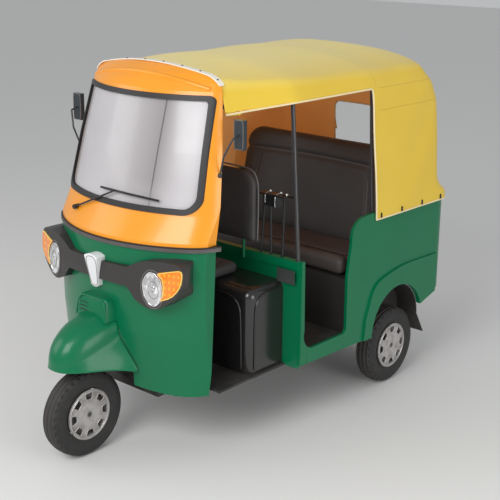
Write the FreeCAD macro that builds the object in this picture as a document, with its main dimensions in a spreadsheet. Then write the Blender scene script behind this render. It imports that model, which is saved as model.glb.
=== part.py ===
import FreeCAD, Part
import math
import os
import re
from FreeCAD import Placement, Rotation, Vector

# Auto rickshaw, three wheels, in millimetres.
# X points to the vehicle's left (the kerb side), the nose faces -Y, Z is up and the ground is Z 0.
# Every Y place hangs on the front axle, the partition behind the driver, or the rear axle.

os.makedirs("parts", exist_ok=True)
doc = FreeCAD.newDocument("auto_rickshaw")

# ---------------------------------------------------------------- driving dimensions
# alias, value, what it is
DIMENSIONS = (
    ("front_axle_y", -1125, "place of the front wheel's axle"),
    ("rear_axle_y", 795, "place of the rear wheels' axle"),
    ("partition_y", -155, "middle of the partition behind the driver"),
    ("rear_overhang", 510, "rear axle to the outside of the rear wall"),
    ("cab_half_width", 600, "middle of the cab to its outside"),
    ("body_half_width", 705, "middle of the passenger body to its outside"),
    ("arch_flare", 12, "how far the wheel arch stands out of the body side"),
    ("skin", 18, "thickness of a body panel with its inner stiffening"),
    ("sheet_gauge", 12, "thickness of a floor or shelf panel"),
    ("cloth", 12, "thickness of the hood with its lining"),
    ("seat_gap", 0.3, "clearance between a soft or bent piece and what carries it"),
    ("cab_bottom", 385, "under side of the floors, on the chassis rails"),
    ("colour_seam", 1174, "joint between the lower and upper cab panels"),
    ("hood_edge", 1862, "lower edge of the hood over the partition"),
    ("crown", 2062, "top of the roof on its middle line"),
    ("body_top", 1140, "top edge of the passenger body"),
    ("sill_top", 485, "top of the passenger doorway's sill"),
    ("beam_top", 1005, "top of the partition's cross beam"),
    ("corner_radius", 120, "rounded rear corners of the body and hood"),
    ("tyre_radius", 240, "outside of a tyre"),
    ("tyre_width", 112, "width of a tyre"),
    ("rim_radius", 127, "where the tyre sits on its rim"),
    ("cover_radius", 141, "outside of the pressed wheel cover"),
    ("wheel_windows", 8, "windows in a wheel cover"),
    ("rear_wheel_x", 610, "middle of a rear tyre"),
    ("drum_radius", 85, "outside of a brake drum"),
    ("drum_depth", 62, "depth of a brake drum"),
    ("axle_radius", 15, "stub axle"),
    ("running_gap", 0.05, "clearance all round a shaft that turns"),
    ("rake", 22, "lean of the steering axis, degrees"),
    ("rake_lead", 30, "steering axis behind the front wheel's middle, at its height"),
    ("column_radius", 25, "steering column"),
    ("head_wall", 11, "wall of the steering head tube"),
    ("bar_half", 290, "half the handlebar's width"),
    ("bar_height", 1050, "height of the handlebar"),
    ("bar_sweep", 90, "how far the handlebar's ends lie behind its clamp"),
    ("bar_radius", 11, "handlebar tube"),
    ("grip_radius", 17, "handlebar grip"),
    ("grip_length", 115, "handlebar grip"),
    ("floor_z", 397, "top of the driver's floor"),
    ("cabin_floor_z", 472, "top of the passengers' floor"),
    ("rail_x", 280, "middle of a chassis rail"),
    ("rail_width", 40, "chassis rail"),
    ("rail_depth", 60, "chassis rail"),
    ("bench_front", 275, "front of the passengers' bench, from the body's middle"),
    ("bench_z", 800, "top of the bench box"),
    ("bench_pad", 118, "thickness of the bench cushion"),
    ("shelf_z", 945, "top of the luggage shelf behind the bench"),
    ("seat_box_top", 880, "top of the driver's seat box"),
    ("pole_radius", 12, "door poles and hood bows"),
    ("arch_radius", 264, "rear wheel arch"),
    ("arch_z", 388, "height of the wheel arch's centre"),
    ("arch_back", 25, "wheel arch's centre ahead of the rear axle"),
    ("liner_width", 150, "width of the mudguard inside a rear wheel arch"),
    ("lid_half", 380, "half the width of the engine lid"),
    ("lid_low", 560, "lower edge of the engine lid"),
    ("lid_high", 900, "upper edge of the engine lid, by its hinge"),
    ("lid_gap", 6, "gap round the engine lid"),
    ("plate_hole_x", 75, "middle of the number plate to each of its two holes"),
    ("plate_hole_radius", 3.5, "hole for a number plate's screw"),
    ("plate_z", 1020, "height of the number plate's holes"),
)

sheet = doc.addObject("Spreadsheet::Sheet", "dims")
for row, (alias, value, meaning) in enumerate(DIMENSIONS, start=1):
    sheet.set(f"A{row}", meaning)
    sheet.set(f"B{row}", str(value))
    sheet.setAlias(f"B{row}", alias)
doc.recompute()
ALIASES = {alias for alias, value, meaning in DIMENSIONS}


class Size:
    """The sheet's values by name, for pieces whose shape is worked out in code."""

    def __getattr__(self, alias):
        return float(sheet.get(alias))


size = Size()
nodes = {}


def formula(text):
    """A formula in the sheet's names, as the document's expressions want it."""
    return re.sub(r"[a-z_]+", lambda word: "dims." + word[0] if word[0] in ALIASES else word[0], str(text))


def place(item, at):
    for axis, text in zip("xyz", at):
        item.setExpression(f"Placement.Base.{axis}", formula(text))


def block(name, low, high):
    """A box between two corners, each corner three formulas."""
    item = doc.addObject("Part::Box", name)
    for side, start, end in zip(("Length", "Width", "Height"), low, high):
        item.setExpression(side, formula(f"({end}) - ({start})"))
    place(item, low)
    return item


TURNS = {
    "x": Rotation(Vector(0, 1, 0), 90),
    "y": Rotation(Vector(1, 0, 0), -90),
    "z": Rotation(),
}


def rod(name, radius, start, along, length):
    """A round bar from a start point along one axis."""
    item = doc.addObject("Part::Cylinder", name)
    item.setExpression("Radius", formula(radius))
    item.setExpression("Height", formula(length))
    item.Placement = Placement(Vector(), TURNS[along])
    place(item, start)
    return item


def cut(name, base, tool):
    item = doc.addObject("Part::Cut", name)
    item.Base = base
    item.Tool = tool
    return item


def fuse(name, pieces):
    item = doc.addObject("Part::MultiFuse", name)
    item.Shapes = pieces
    return item


def common(name, pieces):
    item = doc.addObject("Part::MultiCommon", name)
    item.Shapes = pieces
    return item


def compound(name, pieces):
    item = doc.addObject("Part::Compound", name)
    item.Links = pieces
    return item


def made(name, shape, at=Vector()):
    """A piece whose shape is worked out with Part's own functions, then put in its place."""
    item = doc.addObject("Part::Feature", name)
    item.Shape = shape
    item.Placement = Placement(at, Rotation())
    return item


def rounded(name, base, radius, wanted):
    """Rounds the straight or round edges of a piece that the test accepts."""
    doc.recompute()
    item = doc.addObject("Part::Fillet", name)
    item.Base = base
    picked = [index for index, edge in enumerate(base.Shape.Edges, start=1) if wanted(edge)]
    item.Edges = [(index, radius, radius) for index in picked]
    return item


def node(name, item):
    """Gives a piece the name of its file."""
    item.Label = name
    nodes[name] = item
    return item


# ---------------------------------------------------------------- plain shape helpers
def outline(points, plane, at=0.0):
    """A closed face: straight runs between pairs, and an arc through a middle point given as
    ("arc", a, b) before its end. plane names the two axes that the pairs are measured along."""
    def lift(a, b):
        place_by = {"xy": Vector(a, b, at), "xz": Vector(a, at, b), "yz": Vector(at, a, b)}
        return place_by[plane]

    edges = []
    last = lift(*points[0])
    middle = None
    for point in list(points[1:]) + [points[0]]:
        if point[0] == "arc":
            middle = lift(*point[1:])
            continue
        end = lift(*point)
        if middle is not None:
            edges.append(Part.Arc(last, middle, end).toShape())
        elif last.distanceToPoint(end) > 1e-6:
            edges.append(Part.LineSegment(last, end).toShape())
        last = end
        middle = None
    return Part.Face(Part.Wire(edges))


def prism(points, plane, low, high):
    """An outline pushed from low to high along the axis across its plane."""
    across = {"xy": Vector(0, 0, 1), "xz": Vector(0, 1, 0), "yz": Vector(1, 0, 0)}[plane]
    return outline(points, plane, low).extrude(across * (high - low))


def mirrored(shape):
    """The same shape on the vehicle's other side."""
    return shape.mirror(Vector(), Vector(1, 0, 0))


def round_bar(radius, start, end):
    """A round bar between two points."""
    run = end - start
    return Part.makeCylinder(radius, run.Length, start, run)


def bent_bar(radius, points):
    """A round bar through points, with a ball at each bend."""
    bar = round_bar(radius, points[0], points[1])
    for start, end in zip(points[1:], points[2:]):
        bar = bar.fuse([Part.makeSphere(radius, start), round_bar(radius, start, end)])
    return bar.removeSplitter()


# ---------------------------------------------------------------- the cab's outer surface
# height, nose's place behind the front axle, radius of the front, half width less the cab's, corner radius
CAB_SECTIONS = (
    (345, 175, 860, -34, 230),
    (700, 145, 860, -8, 250),
    (1000, 140, 860, 0, 250),
    (1205, 152, 840, -6, 250),
    (1335, 237, 960, -14, 250),
    (1640, 313, 870, -62, 160),
    (1940, 393, 770, -122, 60),
    (1980, 422, 770, -130, 60),
    (2020, 464, 780, -140, 60),
    (2045, 505, 800, -150, 60),
    (2075, 575, 800, -170, 60),
)
CAB_REACH = 780
# At the doorway the panels end in two leaning planes that meet at the colour joint.
DOOR_EDGE_FOOT = 407
DOOR_EDGE_LOW_LEAN = 0.05
DOOR_EDGE_HIGH_LEAN = 0.18
DOOR_EDGE_Z = 400
DOOR_EDGE_KINK = 1200


def door_edge(height):
    """Where the cab's panels end, at a height."""
    low = min(height, DOOR_EDGE_KINK) - DOOR_EDGE_Z
    high = max(height - DOOR_EDGE_KINK, 0)
    return size.front_axle_y + DOOR_EDGE_FOOT + low * DOOR_EDGE_LOW_LEAN + high * DOOR_EDGE_HIGH_LEAN


def cab_wire(section, inset, height):
    """One level outline of the cab: a round front, two round corners and straight sides."""
    nose = size.front_axle_y + section[1] + inset
    front = section[2] - inset
    half = size.cab_half_width + section[3] - inset
    corner = section[4] - inset * 0.5
    back = size.front_axle_y + CAB_REACH
    side_y = nose + front - math.sqrt((front - corner) ** 2 - (half - corner) ** 2)
    lean = math.atan2(half - corner, nose + front - side_y)
    meet_x = front * math.sin(lean)
    meet_y = nose + front - front * math.cos(lean)
    turn = (lean + math.pi / 2) / 2
    mid_x = half - corner + corner * math.sin(turn)
    mid_y = side_y - corner * math.cos(turn)
    points = (
        (half, back), (half, side_y), ("arc", mid_x, mid_y), (meet_x, meet_y),
        ("arc", 0, nose), (-meet_x, meet_y), ("arc", -mid_x, mid_y), (-half, side_y), (-half, back),
    )
    return outline(points, "xy", height).OuterWire


def cab_solid(inset, bottom=None):
    """The cab's outer form, drawn in by inset all round, as one solid."""
    wires = [cab_wire(section, inset, section[0]) for section in CAB_SECTIONS]
    if bottom is not None:
        wires.insert(0, cab_wire(CAB_SECTIONS[0], inset, bottom))
    return Part.makeLoft(wires, True, True)


# Over the windscreen the cab ends in an upright face that bows forward in plan.
CAP_SPRING_X = 466
CAP_SPRING_Z = 1975
CAP_BOW = 44


def cap_curve(shift):
    """The bowed line's two ends and middle in plan, moved along the vehicle."""
    y = door_edge(CAP_SPRING_Z) + shift
    return (CAP_SPRING_X, y), ("arc", 0, y - CAP_BOW), (-CAP_SPRING_X, y)


def behind_door_edge():
    """Everything behind the faces in which the cab's panels end."""
    low = 200
    reach = size.front_axle_y + 3000
    sides = prism(((door_edge(low), low), (door_edge(DOOR_EDGE_KINK), DOOR_EDGE_KINK),
                   (door_edge(CAP_SPRING_Z), CAP_SPRING_Z), (reach, CAP_SPRING_Z), (reach, low)), "yz", -900, 900)
    right, middle, left = cap_curve(0)
    top = prism((right, middle, left, (-900, left[1]), (-900, reach), (900, reach), (900, right[1])), "xy",
                CAP_SPRING_Z, 2300)
    return sides.fuse(top)


def slab(low, high):
    """A wide block between two heights, for splitting panels."""
    return Part.makeBox(2000, 4000, high - low, Vector(-1000, -2000, low))


# The cab's round top from the front, from its crown down to one side.
CAP_DROP = 4
CAP_SIDE = ((388, 45), ("arc", 438, 68), (474, 106), (560, 300), (560, 1900))


def cap_prism(inset):
    """The round top of the cab, drawn in by inset."""
    half = []
    for point in CAP_SIDE:
        x, drop = point[-2:]
        place = (x - inset * (x - 300) / 180, size.crown - drop - inset * (1 - (x - 388) / 200))
        half.append(("arc",) + place if point[0] == "arc" else place)
    other = [("arc", -point[1], point[2]) if point[0] == "arc" else (-point[0], point[1])
             for point in reversed(half)]
    return prism(other + [("arc", 0, size.crown - CAP_DROP - inset)] + half, "xz", -1500, 1500)


CAB_FORM = cab_solid(0).common(cap_prism(0))
CAB_HOLLOW = cab_solid(size.skin, bottom=300).common(cap_prism(size.skin))
CAB_WALL = CAB_FORM.cut([CAB_HOLLOW, behind_door_edge()])


def screen_outline(grow):
    """The windscreen's opening seen from the front, larger by grow all round."""
    half_low, half_high = 491 + grow, 458 + grow
    low, high = 1354 - grow, 1907 + grow
    big, small = 72 + grow * 0.5, 26 + grow * 0.5
    k = 1 - math.sqrt(0.5)
    return (
        (-half_low + big, low), (half_low - big, low),
        ("arc", half_low - big * k, low + big * k), (half_low, low + big),
        (half_high, high - small),
        ("arc", half_high - small * k, high - small * k), (half_high - small, high),
        (-half_high + small, high),
        ("arc", -half_high + small * k, high - small * k), (-half_high, high - small),
        (-half_low, low + big),
        ("arc", -half_low + big * k, low + big * k), (-half_low + big, low),
    )


SEAL_BAND = 26
SCREEN_DEPTH = (-1100, -400)


def screen_prism(grow):
    shift = size.front_axle_y + 1125
    return prism(screen_outline(grow), "xz", SCREEN_DEPTH[0] + shift, SCREEN_DEPTH[1] + shift)


# Lower cab panel: open behind the mudguard for the steered wheel and its column.
WHEEL_SLOT = ((-200, 0), (200, 0), (200, 480), (142, 600), (62, 700), (-62, 700), (-142, 600), (-200, 480))
slot = prism(WHEEL_SLOT, "xz", size.front_axle_y - 50, size.front_axle_y + 350)
# The lower edge sweeps up from the doors to the middle.
hem = prism(((-900, 200), (900, 200), (900, 364), (420, 364), ("arc", 230, 386), (0, 422),
             ("arc", -230, 386), (-420, 364), (-900, 364)), "xz", -1500, 0)
front_cowl = CAB_WALL.common(slab(0, size.colour_seam)).cut([slot, hem])
node("front_cowl", made("front_cowl", front_cowl))

surround = CAB_WALL.common(slab(size.colour_seam, 2300)).cut(screen_prism(0.0))
node("windscreen_surround", made("windscreen_surround", surround))

# Black moulding that caps the colour joint.
BELT_HALF = 13
BELT_PROUD = 9
belt = cab_solid(-BELT_PROUD).cut([CAB_FORM, behind_door_edge()])
belt = belt.common(slab(size.colour_seam - BELT_HALF, size.colour_seam + BELT_HALF))
node("belt_moulding", made("belt_moulding", belt))

# Rubber seal round the screen, on the panel's edge, and the glass that it holds.
SEAL_PROUD = 7
seal = cab_solid(-SEAL_PROUD).cut([cab_solid(0), behind_door_edge()])
seal = seal.common(screen_prism(SEAL_BAND * 0.6))
lip = CAB_WALL.common(screen_prism(0.0))
seal = seal.fuse(lip).cut(screen_prism(-SEAL_BAND * 0.4))
node("windscreen_seal", made("windscreen_seal", seal.cut(surround).removeSplitter()))

GLASS = 5
pane = cab_solid(size.skin / 2).cut(cab_solid(size.skin / 2 + GLASS)).common(screen_prism(-SEAL_BAND * 0.4))
node("windscreen_glass", made("windscreen_glass", pane.cut(behind_door_edge())))

# ---------------------------------------------------------------- lamps and badge on the front
LAMP_X = 388
LAMP_Z = 980
LAMP_WIDE = 57
LAMP_TALL = 92
LAMP_TILT = 6
BEZEL_PROUD = 26
SKIN_GAP = 0.3
# Black surround: one side's outline, from the middle outwards, joined by its mirror image.
BEZEL_SIDE = ((0, 1067), (222, 1069), (285, 1102), (350, 1122), (450, 1130), (510, 1124), ("arc", 544, 1104),
              (557, 1064), (559, 1020), (515, 945), (445, 893), ("arc", 393, 874), (330, 884), (280, 906),
              (245, 950), (226, 969), (0, 969))


def both_sides(side):
    """A whole outline from its left half, which starts and ends on the middle line."""
    other = []
    for point in reversed(side[1:-1]):
        if point[0] == "arc":
            other.append(("arc", -point[1], point[2]))
        else:
            other.append((-point[0], point[1]))
    return tuple(side) + tuple(other)


def oval(x, z, wide, tall):
    """An upright oval made of four arcs."""
    k = math.sqrt(0.5)
    return ((x + wide, z), ("arc", x + wide * k, z + tall * k), (x, z + tall),
            ("arc", x - wide * k, z + tall * k), (x - wide, z),
            ("arc", x - wide * k, z - tall * k), (x, z - tall),
            ("arc", x + wide * k, z - tall * k), (x + wide, z))


INDICATOR = ((415, 1070), (536, 1100), (546, 1036), (503, 958), (430, 918), (415, 950))
# The surround is flatter across than the cowl behind it, so it stands further out at its ends.
LAMP_SECTIONS = ((800, 140, 1700, -20, 60), (1000, 140, 1700, -20, 60), (1210, 161, 1700, -20, 60))
# its ends slant in towards the cowl
LAMP_ENDS = ((-590, -200), (590, -200), (590, 195), (487, 378), (-487, 378), (-590, 195))


def lamp_form(proud):
    """The surround's outer form over the cowl, standing out by proud at its middle."""
    wires = [cab_wire(section, -proud, section[0]) for section in LAMP_SECTIONS]
    ends = prism([(x, size.front_axle_y + place) for x, place in LAMP_ENDS], "xy", 700, 1300)
    return Part.makeLoft(wires, True, True).common(ends).cut(cab_solid(-SKIN_GAP))


front_reach = (size.front_axle_y - 100, size.front_axle_y + 345)
band = lamp_form(BEZEL_PROUD)
bezel = band.common(prism(both_sides(BEZEL_SIDE), "xz", *front_reach))
lamp_cut = prism(oval(LAMP_X, LAMP_Z, LAMP_WIDE, LAMP_TALL), "xz", *front_reach)
lamp_cut.rotate(Vector(LAMP_X, 0, LAMP_Z), Vector(0, 1, 0), -LAMP_TILT)
lens_left = band.common(lamp_cut)
flasher_left = band.common(prism(INDICATOR, "xz", *front_reach)).cut(lamp_cut)
flasher_cut = prism(INDICATOR, "xz", *front_reach)
BADGE = ((-50, 1088), ("arc", 0, 1102), (50, 1088), (28, 928), ("arc", 0, 918), (-28, 928))
badge_cut = prism(BADGE, "xz", *front_reach)
bezel = bezel.cut([lamp_cut, mirrored(lamp_cut), flasher_cut, mirrored(flasher_cut), badge_cut])
node("lamp_bezel", made("lamp_bezel", bezel))
node("headlamps", made("headlamps", Part.makeCompound([lens_left, mirrored(lens_left)])))
node("front_indicators", made("front_indicators", Part.makeCompound([flasher_left, mirrored(flasher_left)])))
# It stands out further at its top.
BADGE_PROUD = 60
badge_side = ((size.front_axle_y + 117, 900), (size.front_axle_y + 84, 1110), (size.front_axle_y + 400, 1110),
              (size.front_axle_y + 400, 900))
badge = lamp_form(BADGE_PROUD).common([badge_cut]).common(prism(badge_side, "yz", -100, 100))
node("badge_shield", made("badge_shield", badge))

# ---------------------------------------------------------------- front mudguard with its scoop
# place from the front axle, half width at the shoulder and at the lip, shoulder, top and lip heights
GUARD_SECTIONS = (
    (-190, 22, 30, 545, 575, 530),
    (-170, 55, 64, 550, 628, 529),
    (-120, 98, 112, 572, 695, 527),
    (-40, 124, 150, 605, 748, 520),
    (60, 136, 190, 640, 782, 508),
    (205, 142, 245, 682, 806, 485),
)
GUARD_WALL = 8


def guard_wire(section, inset, lip_drop):
    place_y, shoulder, foot, shoulder_z, top, lip_z = section
    y = size.front_axle_y + place_y
    points = ((-foot + inset, lip_z - lip_drop), (-shoulder + inset, shoulder_z - inset),
              ("arc", 0, top - inset), (shoulder - inset, shoulder_z - inset), (foot - inset, lip_z - lip_drop))
    return outline(points, "xz", y).OuterWire


guard = Part.makeLoft([guard_wire(section, 0, 0) for section in GUARD_SECTIONS], True, True)
inner_sections = [tuple([section[0] + GUARD_WALL * (index == 0)]) + section[1:]
                  for index, section in enumerate(GUARD_SECTIONS)]
guard_hollow = Part.makeLoft([guard_wire(section, GUARD_WALL, 60) for section in inner_sections], True, True)
guard = guard.cut([guard_hollow, cab_solid(-SKIN_GAP, bottom=300)])
SCOOP = ((-120, 868), (100, 868), (125, 745), (-125, 745))
scoop = prism(SCOOP, "xz", size.front_axle_y + 95, size.front_axle_y + 200).cut(cab_solid(-SKIN_GAP))
guard = guard.fuse(scoop).cut(guard_hollow)
node("front_mudguard", made("front_mudguard", guard.removeSplitter()))

# ---------------------------------------------------------------- floor, wheel house and chassis
HOUSE_HALF = 222
HOUSE_FRONT = -145
HOUSE_LONG = 400
HOUSE_TOP = 712
HOUSE_WALL = 8
FLOOR_WIDENS = 430
front_floor = block("front_floor", ("0 - cab_half_width", "front_axle_y + 100", "floor_z - sheet_gauge"),
                    ("cab_half_width", f"front_axle_y + {FLOOR_WIDENS}", "floor_z"))
inside = made("cab_inside", CAB_HOLLOW)
trimmed = common("front_floor_trimmed", [front_floor, inside])
back_floor = block("back_floor", ("0 - cab_half_width", f"front_axle_y + {FLOOR_WIDENS}", "floor_z - sheet_gauge"),
                   ("cab_half_width", "partition_y - 10", "floor_z"))
house_gap = block("house_gap", (-HOUSE_HALF, "front_axle_y", 300),
                  (HOUSE_HALF, f"front_axle_y + {HOUSE_FRONT + HOUSE_LONG}", 500))
driver_floor = cut("driver_floor", fuse("driver_floor_whole", [trimmed, back_floor]), house_gap)
node("driver_floor", driver_floor)
node("cabin_floor", block("cabin_floor",
                          ("skin - body_half_width", "partition_y + 10", "cabin_floor_z - sheet_gauge"),
                          ("body_half_width - skin", "bench_front", "cabin_floor_z")))

# Steering axis: a leaning line through a point just behind the front wheel's middle.
rake = math.radians(size.rake)
AXIS = Vector(0, math.sin(rake), math.cos(rake))
FOOT = Vector(0, size.front_axle_y + size.rake_lead, size.tyre_radius)


def on_axis(height):
    """The steering axis at a height."""
    return FOOT + AXIS * ((height - FOOT.z) / AXIS.z)


HEAD_LOW = 640
HEAD_HIGH = 840
head_radius = size.column_radius + size.head_wall
house_y = size.front_axle_y + HOUSE_FRONT
house = Part.makeBox(2 * HOUSE_HALF, HOUSE_LONG, HOUSE_TOP - size.cab_bottom,
                     Vector(-HOUSE_HALF, house_y, size.cab_bottom))
house_inner = Part.makeBox(2 * (HOUSE_HALF - HOUSE_WALL), HOUSE_LONG - HOUSE_WALL, HOUSE_TOP - HOUSE_WALL,
                           Vector(-HOUSE_HALF + HOUSE_WALL, house_y, 0))
house = house.cut(house_inner).common(CAB_HOLLOW)
head = round_bar(head_radius, on_axis(HEAD_LOW), on_axis(HEAD_HIGH))
bore = round_bar(size.column_radius + size.running_gap, on_axis(HEAD_LOW - 100), on_axis(HEAD_HIGH + 100))
wheel_house = house.fuse(head).cut(bore).removeSplitter()
node("wheel_house", made("wheel_house", wheel_house))

rails = []
rail_back = "rear_axle_y + rear_overhang - 40"
for side in (-1, 1):
    middle = f"{side} * rail_x"
    rails.append(block("rail", (f"{middle} - rail_width / 2", "front_axle_y + 270", "cab_bottom - rail_depth"),
                       (f"{middle} + rail_width / 2", rail_back, "cab_bottom")))
# cross members: place along the vehicle, half length, top
CROSS_MEMBERS = (
    ("front_axle_y + 290", 300, "cab_bottom"),
    ("partition_y - 40", 440, "cab_bottom"),
    ("partition_y + 60", 440, "cabin_floor_z - sheet_gauge"),
    ("bench_front - 40", 440, "cabin_floor_z - sheet_gauge"),
    ("rear_axle_y + rear_overhang - 60", 400, "cab_bottom"),
)
for y, half, top in CROSS_MEMBERS:
    rails.append(block("cross", (-half, f"{y} - 20", "cab_bottom - rail_depth"), (half, f"{y} + 20", top)))
node("chassis_frame", fuse("chassis_frame", rails))

# ---------------------------------------------------------------- partition and driver's place
panel = block("partition_sheet", ("skin - body_half_width", "partition_y - 10", "floor_z - sheet_gauge"),
              ("body_half_width - skin", "partition_y + 10", "beam_top"))
beam = block("partition_beam", ("skin - body_half_width", "partition_y - 20", "beam_top - 48"),
             ("body_half_width - skin", "partition_y + 20", "beam_top"))
# Two upright stays on the beam carry the driver's backrest.
STAY_RADIUS = 9
STAY_X = 300
BEAM_HALF = 20
stay_y = f"partition_y - {BEAM_HALF} - {STAY_RADIUS - 3}"
partition = [panel, beam]
for side in (-1, 1):
    partition.append(rod("back_stay", STAY_RADIUS, (side * STAY_X, stay_y, "beam_top - 48"), "z", 470))
node("partition_panel", fuse("partition_panel", partition))

SEAT_BOX_DEEP = 275
SEAT_BOX_HALF = 580
seat_box = block("seat_box", (-SEAT_BOX_HALF, f"partition_y - 10 - {SEAT_BOX_DEEP}", "floor_z"),
                 (SEAT_BOX_HALF, "partition_y - 10", "seat_box_top"))


def seat_box_edge(edge):
    """Edges of the seat box that show: the front uprights, and the top's front and ends."""
    middle = edge.CenterOfMass
    front_y = size.partition_y - 10 - SEAT_BOX_DEEP
    is_front = abs(middle.y - front_y) < 1 and middle.z > size.floor_z + 1
    is_end = abs(abs(middle.x) - SEAT_BOX_HALF) < 1 and middle.z > size.seat_box_top - 1
    return is_front or is_end


node("driver_seat_box", rounded("driver_seat_box", seat_box, 55, seat_box_edge))

DRIVER_PAD_HALF = 330
pad = block("driver_pad", (-DRIVER_PAD_HALF, "partition_y - 420", "seat_box_top + seat_gap"),
            (DRIVER_PAD_HALF, "partition_y - 75", "seat_box_top + 75"))
node("driver_cushion", rounded("driver_cushion", pad, 28, lambda edge: edge.Length > 50))
DRIVER_BACK_HALF = 440
back = block("driver_back", (-DRIVER_BACK_HALF, f"{stay_y} - {STAY_RADIUS} - seat_gap - 60", "beam_top + 60"),
             (DRIVER_BACK_HALF, f"{stay_y} - {STAY_RADIUS} - seat_gap", "beam_top + 480"))
back_soft = rounded("driver_backrest", back, 26, lambda edge: edge.Length > 50)
node("driver_backrest", back_soft)

DASH_LOW, DASH_HIGH = 1165, 1255
dash = Part.makeBox(1200, 220, DASH_HIGH - DASH_LOW, Vector(-600, size.front_axle_y + 80, DASH_LOW))
node("dashboard", made("dashboard", dash.common(CAB_HOLLOW).cut(behind_door_edge())))

# ---------------------------------------------------------------- passenger body
rear_y = size.rear_axle_y + size.rear_overhang
half = size.body_half_width
bend = size.corner_radius
skin = size.skin
k = 1 - math.sqrt(0.5)
door_y = size.partition_y
bench_y = size.bench_front
arch_y = size.rear_axle_y - size.arch_back


def side_strip(out, inner):
    """Plan of one side with its round rear corner, from the partition to the rear wall."""
    a = half + out
    b = half - inner
    outer_r = bend + out
    inner_r = bend - inner
    return (
        (a, door_y - 3), (a, rear_y - bend), ("arc", a - outer_r * k, rear_y + out - outer_r * k),
        (half - bend, rear_y + out), (half - bend, rear_y - inner),
        ("arc", b - inner_r * k, rear_y - inner - inner_r * k), (b, rear_y - bend), (b, door_y - 3),
    )


def side_view():
    """Side outline: door post, sill, leaning front edge of the quarter, and the rising tail."""
    return (
        (door_y - 3, 402), (door_y - 3, size.beam_top), (door_y + 22, size.beam_top), (door_y + 30, 600),
        ("arc", door_y + 48, 512), (door_y + 100, size.sill_top), (bench_y - 45, size.sill_top),
        ("arc", bench_y - 23, 494), (bench_y - 15, 520), (bench_y - 18, 822), (bench_y + 15, 1022),
        ("arc", bench_y + 34, 1105), (bench_y + 105, 1150), (bench_y + 185, size.body_top + 16),
        (rear_y + 20, size.body_top), (rear_y + 20, 553), (arch_y + 226, 461), (arch_y, 385),
        (bench_y + 175, 385),
    )


arch = Part.makeCylinder(size.arch_radius, 400, Vector(400, arch_y, size.arch_z), Vector(1, 0, 0))
low_arch = Part.makeBox(400, 2 * size.arch_radius - 40, size.arch_z,
                        Vector(400, arch_y - size.arch_radius + 4, 0))
strip = prism(side_strip(0, skin), "xy", 380, 1165)
side = strip.common(prism(side_view(), "yz", 500, 800)).cut([arch, low_arch])
flare_view = ((bench_y + 150, 380), (bench_y + 165, 510), (bench_y + 215, 640), ("arc", bench_y + 255, 700),
              (bench_y + 325, 735), ("arc", bench_y + 480, 765), (bench_y + 660, 772), (rear_y - bend, 765),
              (rear_y - bend, 300), (bench_y + 150, 300))
flare = Part.makeBox(size.arch_flare, 2000, 1200, Vector(half, 0, 0)).common(prism(flare_view, "yz", 500, 800))
flare = flare.common(prism(side_view(), "yz", 500, 800)).cut([arch, low_arch])
side = side.fuse(flare).removeSplitter()
node("side_panels", made("side_panels", Part.makeCompound([side, mirrored(side)])))

# Black inner mudguards with their flaps, just inside the arches.
LINER_SHEET = 6
FLAP_SWEEP = 88
liner_r = size.arch_radius - 1.0
liner_x = half - skin - 0.3
ring = Part.makeCylinder(liner_r, size.liner_width, Vector(liner_x - size.liner_width, arch_y, size.arch_z),
                         Vector(1, 0, 0))
ring = ring.cut(Part.makeCylinder(liner_r - LINER_SHEET, size.liner_width + 2,
                                  Vector(liner_x - size.liner_width - 1, arch_y, size.arch_z), Vector(1, 0, 0)))
wall = Part.makeCylinder(liner_r, LINER_SHEET, Vector(liner_x - size.liner_width, arch_y, size.arch_z),
                         Vector(1, 0, 0))
above_arch = Part.makeBox(400, 800, 400, Vector(400, arch_y - 400, size.arch_z))
flap_y = arch_y + liner_r
flap_low = size.arch_z - 140
flap = prism(((flap_y - LINER_SHEET, size.arch_z + 5), (flap_y, size.arch_z + 5), (flap_y + FLAP_SWEEP, flap_low),
              (flap_y + FLAP_SWEEP - LINER_SHEET, flap_low)), "yz", liner_x - size.liner_width, liner_x)
front_end = Part.makeBox(size.liner_width, LINER_SHEET, 45,
                         Vector(liner_x - size.liner_width, arch_y - liner_r, size.arch_z - 40))
liner = ring.fuse(wall).common(above_arch).fuse([flap, front_end]).removeSplitter()
node("rear_mudguards", made("rear_mudguards", Part.makeCompound([liner, mirrored(liner)])))

# Rear wall between the round corners, open for the engine lid.
rear_sheet = block("rear_sheet", ("corner_radius - body_half_width", "rear_axle_y + rear_overhang - skin", 553),
                   ("body_half_width - corner_radius", "rear_axle_y + rear_overhang", "body_top"))
lid_hole = block("lid_hole", ("0 - lid_half - lid_gap", "rear_axle_y + rear_overhang - 60", "lid_low - lid_gap"),
                 ("lid_half + lid_gap", "rear_axle_y + rear_overhang + 40", "lid_high + lid_gap"))
HINGE_X = 230
HINGE_HALF = 20
PIN_RADIUS = 4
BARREL_WALL = 4
EAR = 12
hinge_y = "rear_axle_y + rear_overhang + 10"
hinge_z = "lid_high + lid_gap / 2"
plate_holes = []
for side_sign in (-1, 1):
    plate_holes.append(rod("plate_hole", "plate_hole_radius",
                           (f"{side_sign} * plate_hole_x", "rear_axle_y + rear_overhang - 60", "plate_z"), "y", 120))
wall_pieces = [cut("rear_wall", rear_sheet, fuse("rear_wall_holes", [lid_hole] + plate_holes))]
for side_sign in (-1, 1):
    middle = side_sign * HINGE_X
    wall_pieces.append(rod("hinge_pin", PIN_RADIUS, (middle - HINGE_HALF - EAR, hinge_y, hinge_z), "x",
                           2 * (HINGE_HALF + EAR)))
    for ear_low in (middle - HINGE_HALF - EAR, middle + HINGE_HALF + 2):
        wall_pieces.append(block("hinge_ear", (ear_low, "rear_axle_y + rear_overhang", "lid_high + 1"),
                                 (ear_low + EAR - 2, f"{hinge_y} + 8", f"{hinge_z} + 14")))
node("rear_panel", fuse("rear_panel", wall_pieces))

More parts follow.
